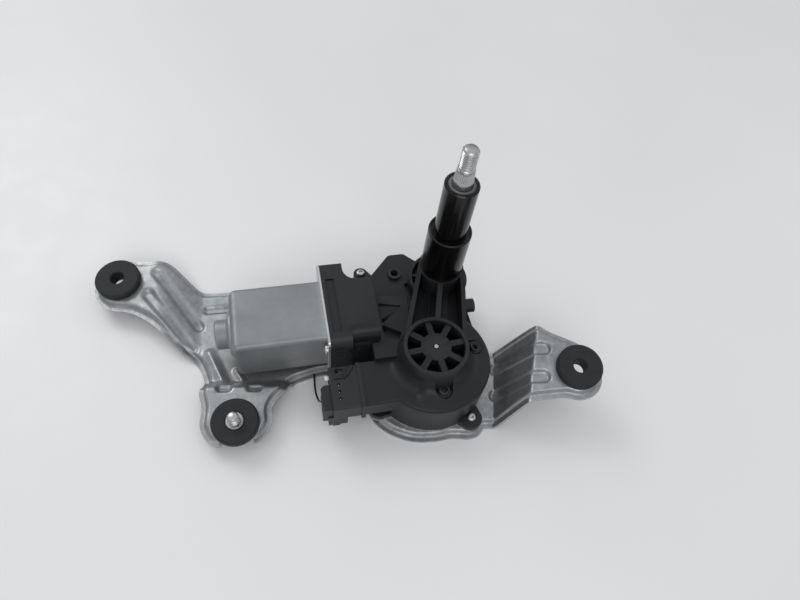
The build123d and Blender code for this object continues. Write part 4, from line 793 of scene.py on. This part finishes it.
def roof_height(x, y, turn):
    """Slope from hub to edge, with two hollow bosses that stand in U-shaped moats."""
    r = math.hypot(x - HUB[0], y - HUB[1])
    share = min(1.0, max(0.0, (ROOF_EDGE[0] - r) / (ROOF_EDGE[0] - ROOF_TOP[0])))
    slope = ease((turn - SEAM[0]) / (SEAM[1] - SEAM[0]))
    hollow = ROOF_TOP[1] - ROOF_EDGE[1] - ROOF_RISE * slope
    height = ROOF_EDGE[1] - 0.1 * (1.0 - slope) + ROOF_RISE * slope * share + hollow * share ** 5
    for bx, by, radius, hole in ROOF_BOSSES:
        away = math.hypot(bx - HUB[0], by - HUB[1])
        ux, uy = (HUB[0] - bx) / away, (HUB[1] - by) / away
        along = min(MOAT_LENGTH, max(0.0, (x - bx) * ux + (y - by) * uy))
        wall = math.hypot(x - bx - ux * along, y - by - uy * along) - radius
        centre = math.hypot(x - bx, y - by)
        if wall < RIM_REACH:
            height += (min(height, RIM_TOP) + RIM_RISE - height) * ease((RIM_REACH - wall) / WALL)
            height -= MOAT_DEPTH * ease((MOAT_REACH - wall) / WALL)
            height += BOSS_RISE * ease((radius - centre) / WALL + 0.5)
            height -= BOSS_HOLE * ease((hole - centre) / WALL + 0.5)
    return height


def pot_roof():
    """Roof of the pot between its rolled edge and the hub, as a closed shell over the plain one."""
    (first, last), columns, rows = ROOF_SPAN, ROOF_COLUMNS, ROOF_ROWS
    base = ROOF_EDGE[1] - 0.5
    points = []
    for column in range(columns + 1):
        angle = first + (last - first) * column / columns
        turn = math.radians(angle)
        for row in range(rows + 1):
            r = ROOF_TOP[0] + (ROOF_EDGE[0] - ROOF_TOP[0]) * row / rows
            x, y = HUB[0] + r * math.cos(turn), HUB[1] + r * math.sin(turn)
            points.append((x, y, roof_height(x, y, angle)))
        points.append((x, y, base))
        points.append((HUB[0] + ROOF_TOP[0] * math.cos(turn), HUB[1] + ROOF_TOP[0] * math.sin(turn), base))
    wide = rows + 3
    faces = []
    for column in range(columns):
        for row in range(wide):
            a, b = column * wide + row, column * wide + (row + 1) % wide
            faces.append((a, b, b + wide, a + wide))
    faces += [tuple(reversed(range(wide))), tuple(range(columns * wide, (columns + 1) * wide))]
    build("pot_roof", points, faces, "housing_plastic", angle=40.0)


# ---------------------------------------------------------------- small pieces
WINDOW_X = -64.8
WINDOW_Y = (-55.1, -59.0, -62.9)
WINDOW_Z = 26.4
STRAP = (                     # points along its middle, from the bracket to the connector
    (-75.0, -33.9, 1.9), (-75.3, -38.0, 3.0), (-75.7, -46.6, 7.0), (-74.9, -53.7, 10.5), (-73.2, -58.0, 17.8),
)
STRAP_HALF = (0.55, 0.4)      # half its width and thickness
STRAP_STEPS, STRAP_SIDES = 10, 12
TUNNEL_RIGHT = 10.9


def window_pins():
    """Tinned ends of the blades, seen through the round windows in the connector's roof."""
    profile = [(0.55, 0.0, 0), (0.55, 2.2, 0), (0.5, 2.5, 0), (0.36, 2.75, 0), (0.18, 2.88, 0)]
    parts = [lathe(profile, 24, axis_frame((WINDOW_X, y, WINDOW_Z), (0, 0, 1))) for y in WINDOW_Y]
    build("window_pins", *join(parts), "tin_plate", angle=50.0)


def tunnel_end():
    """Closed end of the worm's tunnel, around the stub that stands on it."""
    profile = [(3.0, 0.0, 0), (8.35, 0.0, 0), (8.35, 1.0, 0), (8.0, 1.35, 0), (3.6, 1.35, 0)]
    place = axis_frame((TUNNEL_RIGHT, CAN_Y, CAN_Z), (1, 0, 0))
    build("tunnel_end", *lathe(profile, 72, place), "housing_plastic", angle=40.0)


def connector_strap():
    """Thin strap or wire that curves from the bracket's edge up to the connector."""
    path = [Vector(point) for point in STRAP]
    ends = [path[0] * 2 - path[1]] + path + [path[-1] * 2 - path[-2]]
    line = []
    for part in range(1, len(ends) - 2):
        a, b, c, d = ends[part - 1:part + 3]
        for step in range(STRAP_STEPS):
            t = step / STRAP_STEPS
            line.append(0.5 * (2 * b + (c - a) * t + (2 * a - 5 * b + 4 * c - d) * t ** 2
                               + (3 * b - a - 3 * c + d) * t ** 3))
    line.append(path[-1])
    points = []
    for index, here in enumerate(line):
        ahead = (line[min(index + 1, len(line) - 1)] - line[max(index - 1, 0)]).normalized()
        across = ahead.cross(Vector((0, 0, 1))).normalized()
        up = across.cross(ahead)
        for step in range(STRAP_SIDES):
            turn = 2 * math.pi * step / STRAP_SIDES
            sideways, upward = STRAP_HALF[0] * math.cos(turn), STRAP_HALF[1] * math.sin(turn)
            points.append(tuple(here + across * sideways + up * upward))
    faces = ring_faces(len(line), STRAP_SIDES)
    build("connector_strap", points, faces, "connector_plastic", angle=60.0)


# ---------------------------------------------------------------- floor, light, camera
def stage_floor():
    mesh = bpy.data.meshes.new("floor")
    size = 1.6
    mesh.from_pydata([(-size, -size, FLOOR), (size, -size, FLOOR), (size, size, FLOOR), (-size, size, FLOOR)],
                     [], [(0, 1, 2, 3)])
    floor = add_object("floor", mesh)
    n = Nodes("floor")
    cloud = n.noise(3.0, 3.0, 0.5)
    n.link(n.ramp(cloud, (0.3, (0.70, 0.70, 0.705)), (0.7, (0.75, 0.75, 0.755))), n.bsdf.inputs["Base Color"])
    n.link(n.span(n.noise(60.0), 0.3, 0.7, 0.4, 0.5), n.bsdf.inputs["Roughness"])
    floor.data.materials.append(n.mat)


def area_light(name, place, aim, size, power, colour):
    light = bpy.data.lights.new(name, "AREA")
    light.shape = "RECTANGLE"
    light.size, light.size_y = size
    light.energy = power
    light.color = colour
    lamp = add_object(name, light)
    lamp.location = place
    lamp.rotation_euler = (Vector(aim) - Vector(place)).to_track_quat("-Z", "Y").to_euler()


def lights():
    """Soft light: a bright ceiling, a window behind at the left, one in front and a weak one at the right."""
    centre = (-0.05, -0.02, -0.11)
    area_light("window", (-1.3, 1.7, 1.9), centre, (1.5, 1.1), 21.0, (1.0, 0.995, 0.985))
    area_light("front", (-0.35, -1.6, 1.25), centre, (1.5, 0.8), 9.0, (1.0, 1.0, 0.995))
    area_light("side", (1.9, 0.4, 0.9), centre, (0.8, 1.0), 1.5, (0.98, 0.99, 1.0))
    world = bpy.data.worlds.new("world")
    world.use_nodes = True
    tree = world.node_tree
    background = tree.nodes["Background"]
    direction = tree.nodes.new("ShaderNodeTexCoord").outputs["Generated"]
    split = tree.nodes.new("ShaderNodeSeparateXYZ")
    tree.links.new(direction, split.inputs[0])
    ramp = tree.nodes.new("ShaderNodeValToRGB")
    ramp.color_ramp.elements[0].position = 0.0
    ramp.color_ramp.elements[0].color = (0.42, 0.43, 0.45, 1.0)
    ramp.color_ramp.elements[1].position = 0.9
    ramp.color_ramp.elements[1].color = (0.93, 0.94, 0.96, 1.0)
    tree.links.new(split.outputs["Z"], ramp.inputs[0])
    tree.links.new(ramp.outputs[0], background.inputs["Color"])
    background.inputs["Strength"].default_value = 0.85
    bpy.context.scene.world = world


def camera():
    """Camera of the photograph, solved from the round forms and straight edges seen in it."""
    data = bpy.data.cameras.new("camera")
    data.sensor_width = 36.0
    data.lens = 27.9
    data.clip_start = 0.01
    cam = add_object("camera", data)
    right = (0.97555, -0.19523, 0.10091)
    up = (0.11060, 0.83293, 0.54221)
    back = (-0.18990, -0.51779, 0.83416)
    place = (-0.08950, -0.18936, 0.19900)
    cam.matrix_world = Matrix([[right[i], up[i], back[i], place[i]] for i in range(3)] + [[0, 0, 0, 1]])
    bpy.context.scene.camera = cam


sheet_bracket()
spindle()
motor_can()
screws()
ear_stud()
pot_roof()
window_pins()
tunnel_end()
connector_strap()
stage_floor()
lights()
camera()
bpy.context.scene.view_settings.view_transform = "Standard"
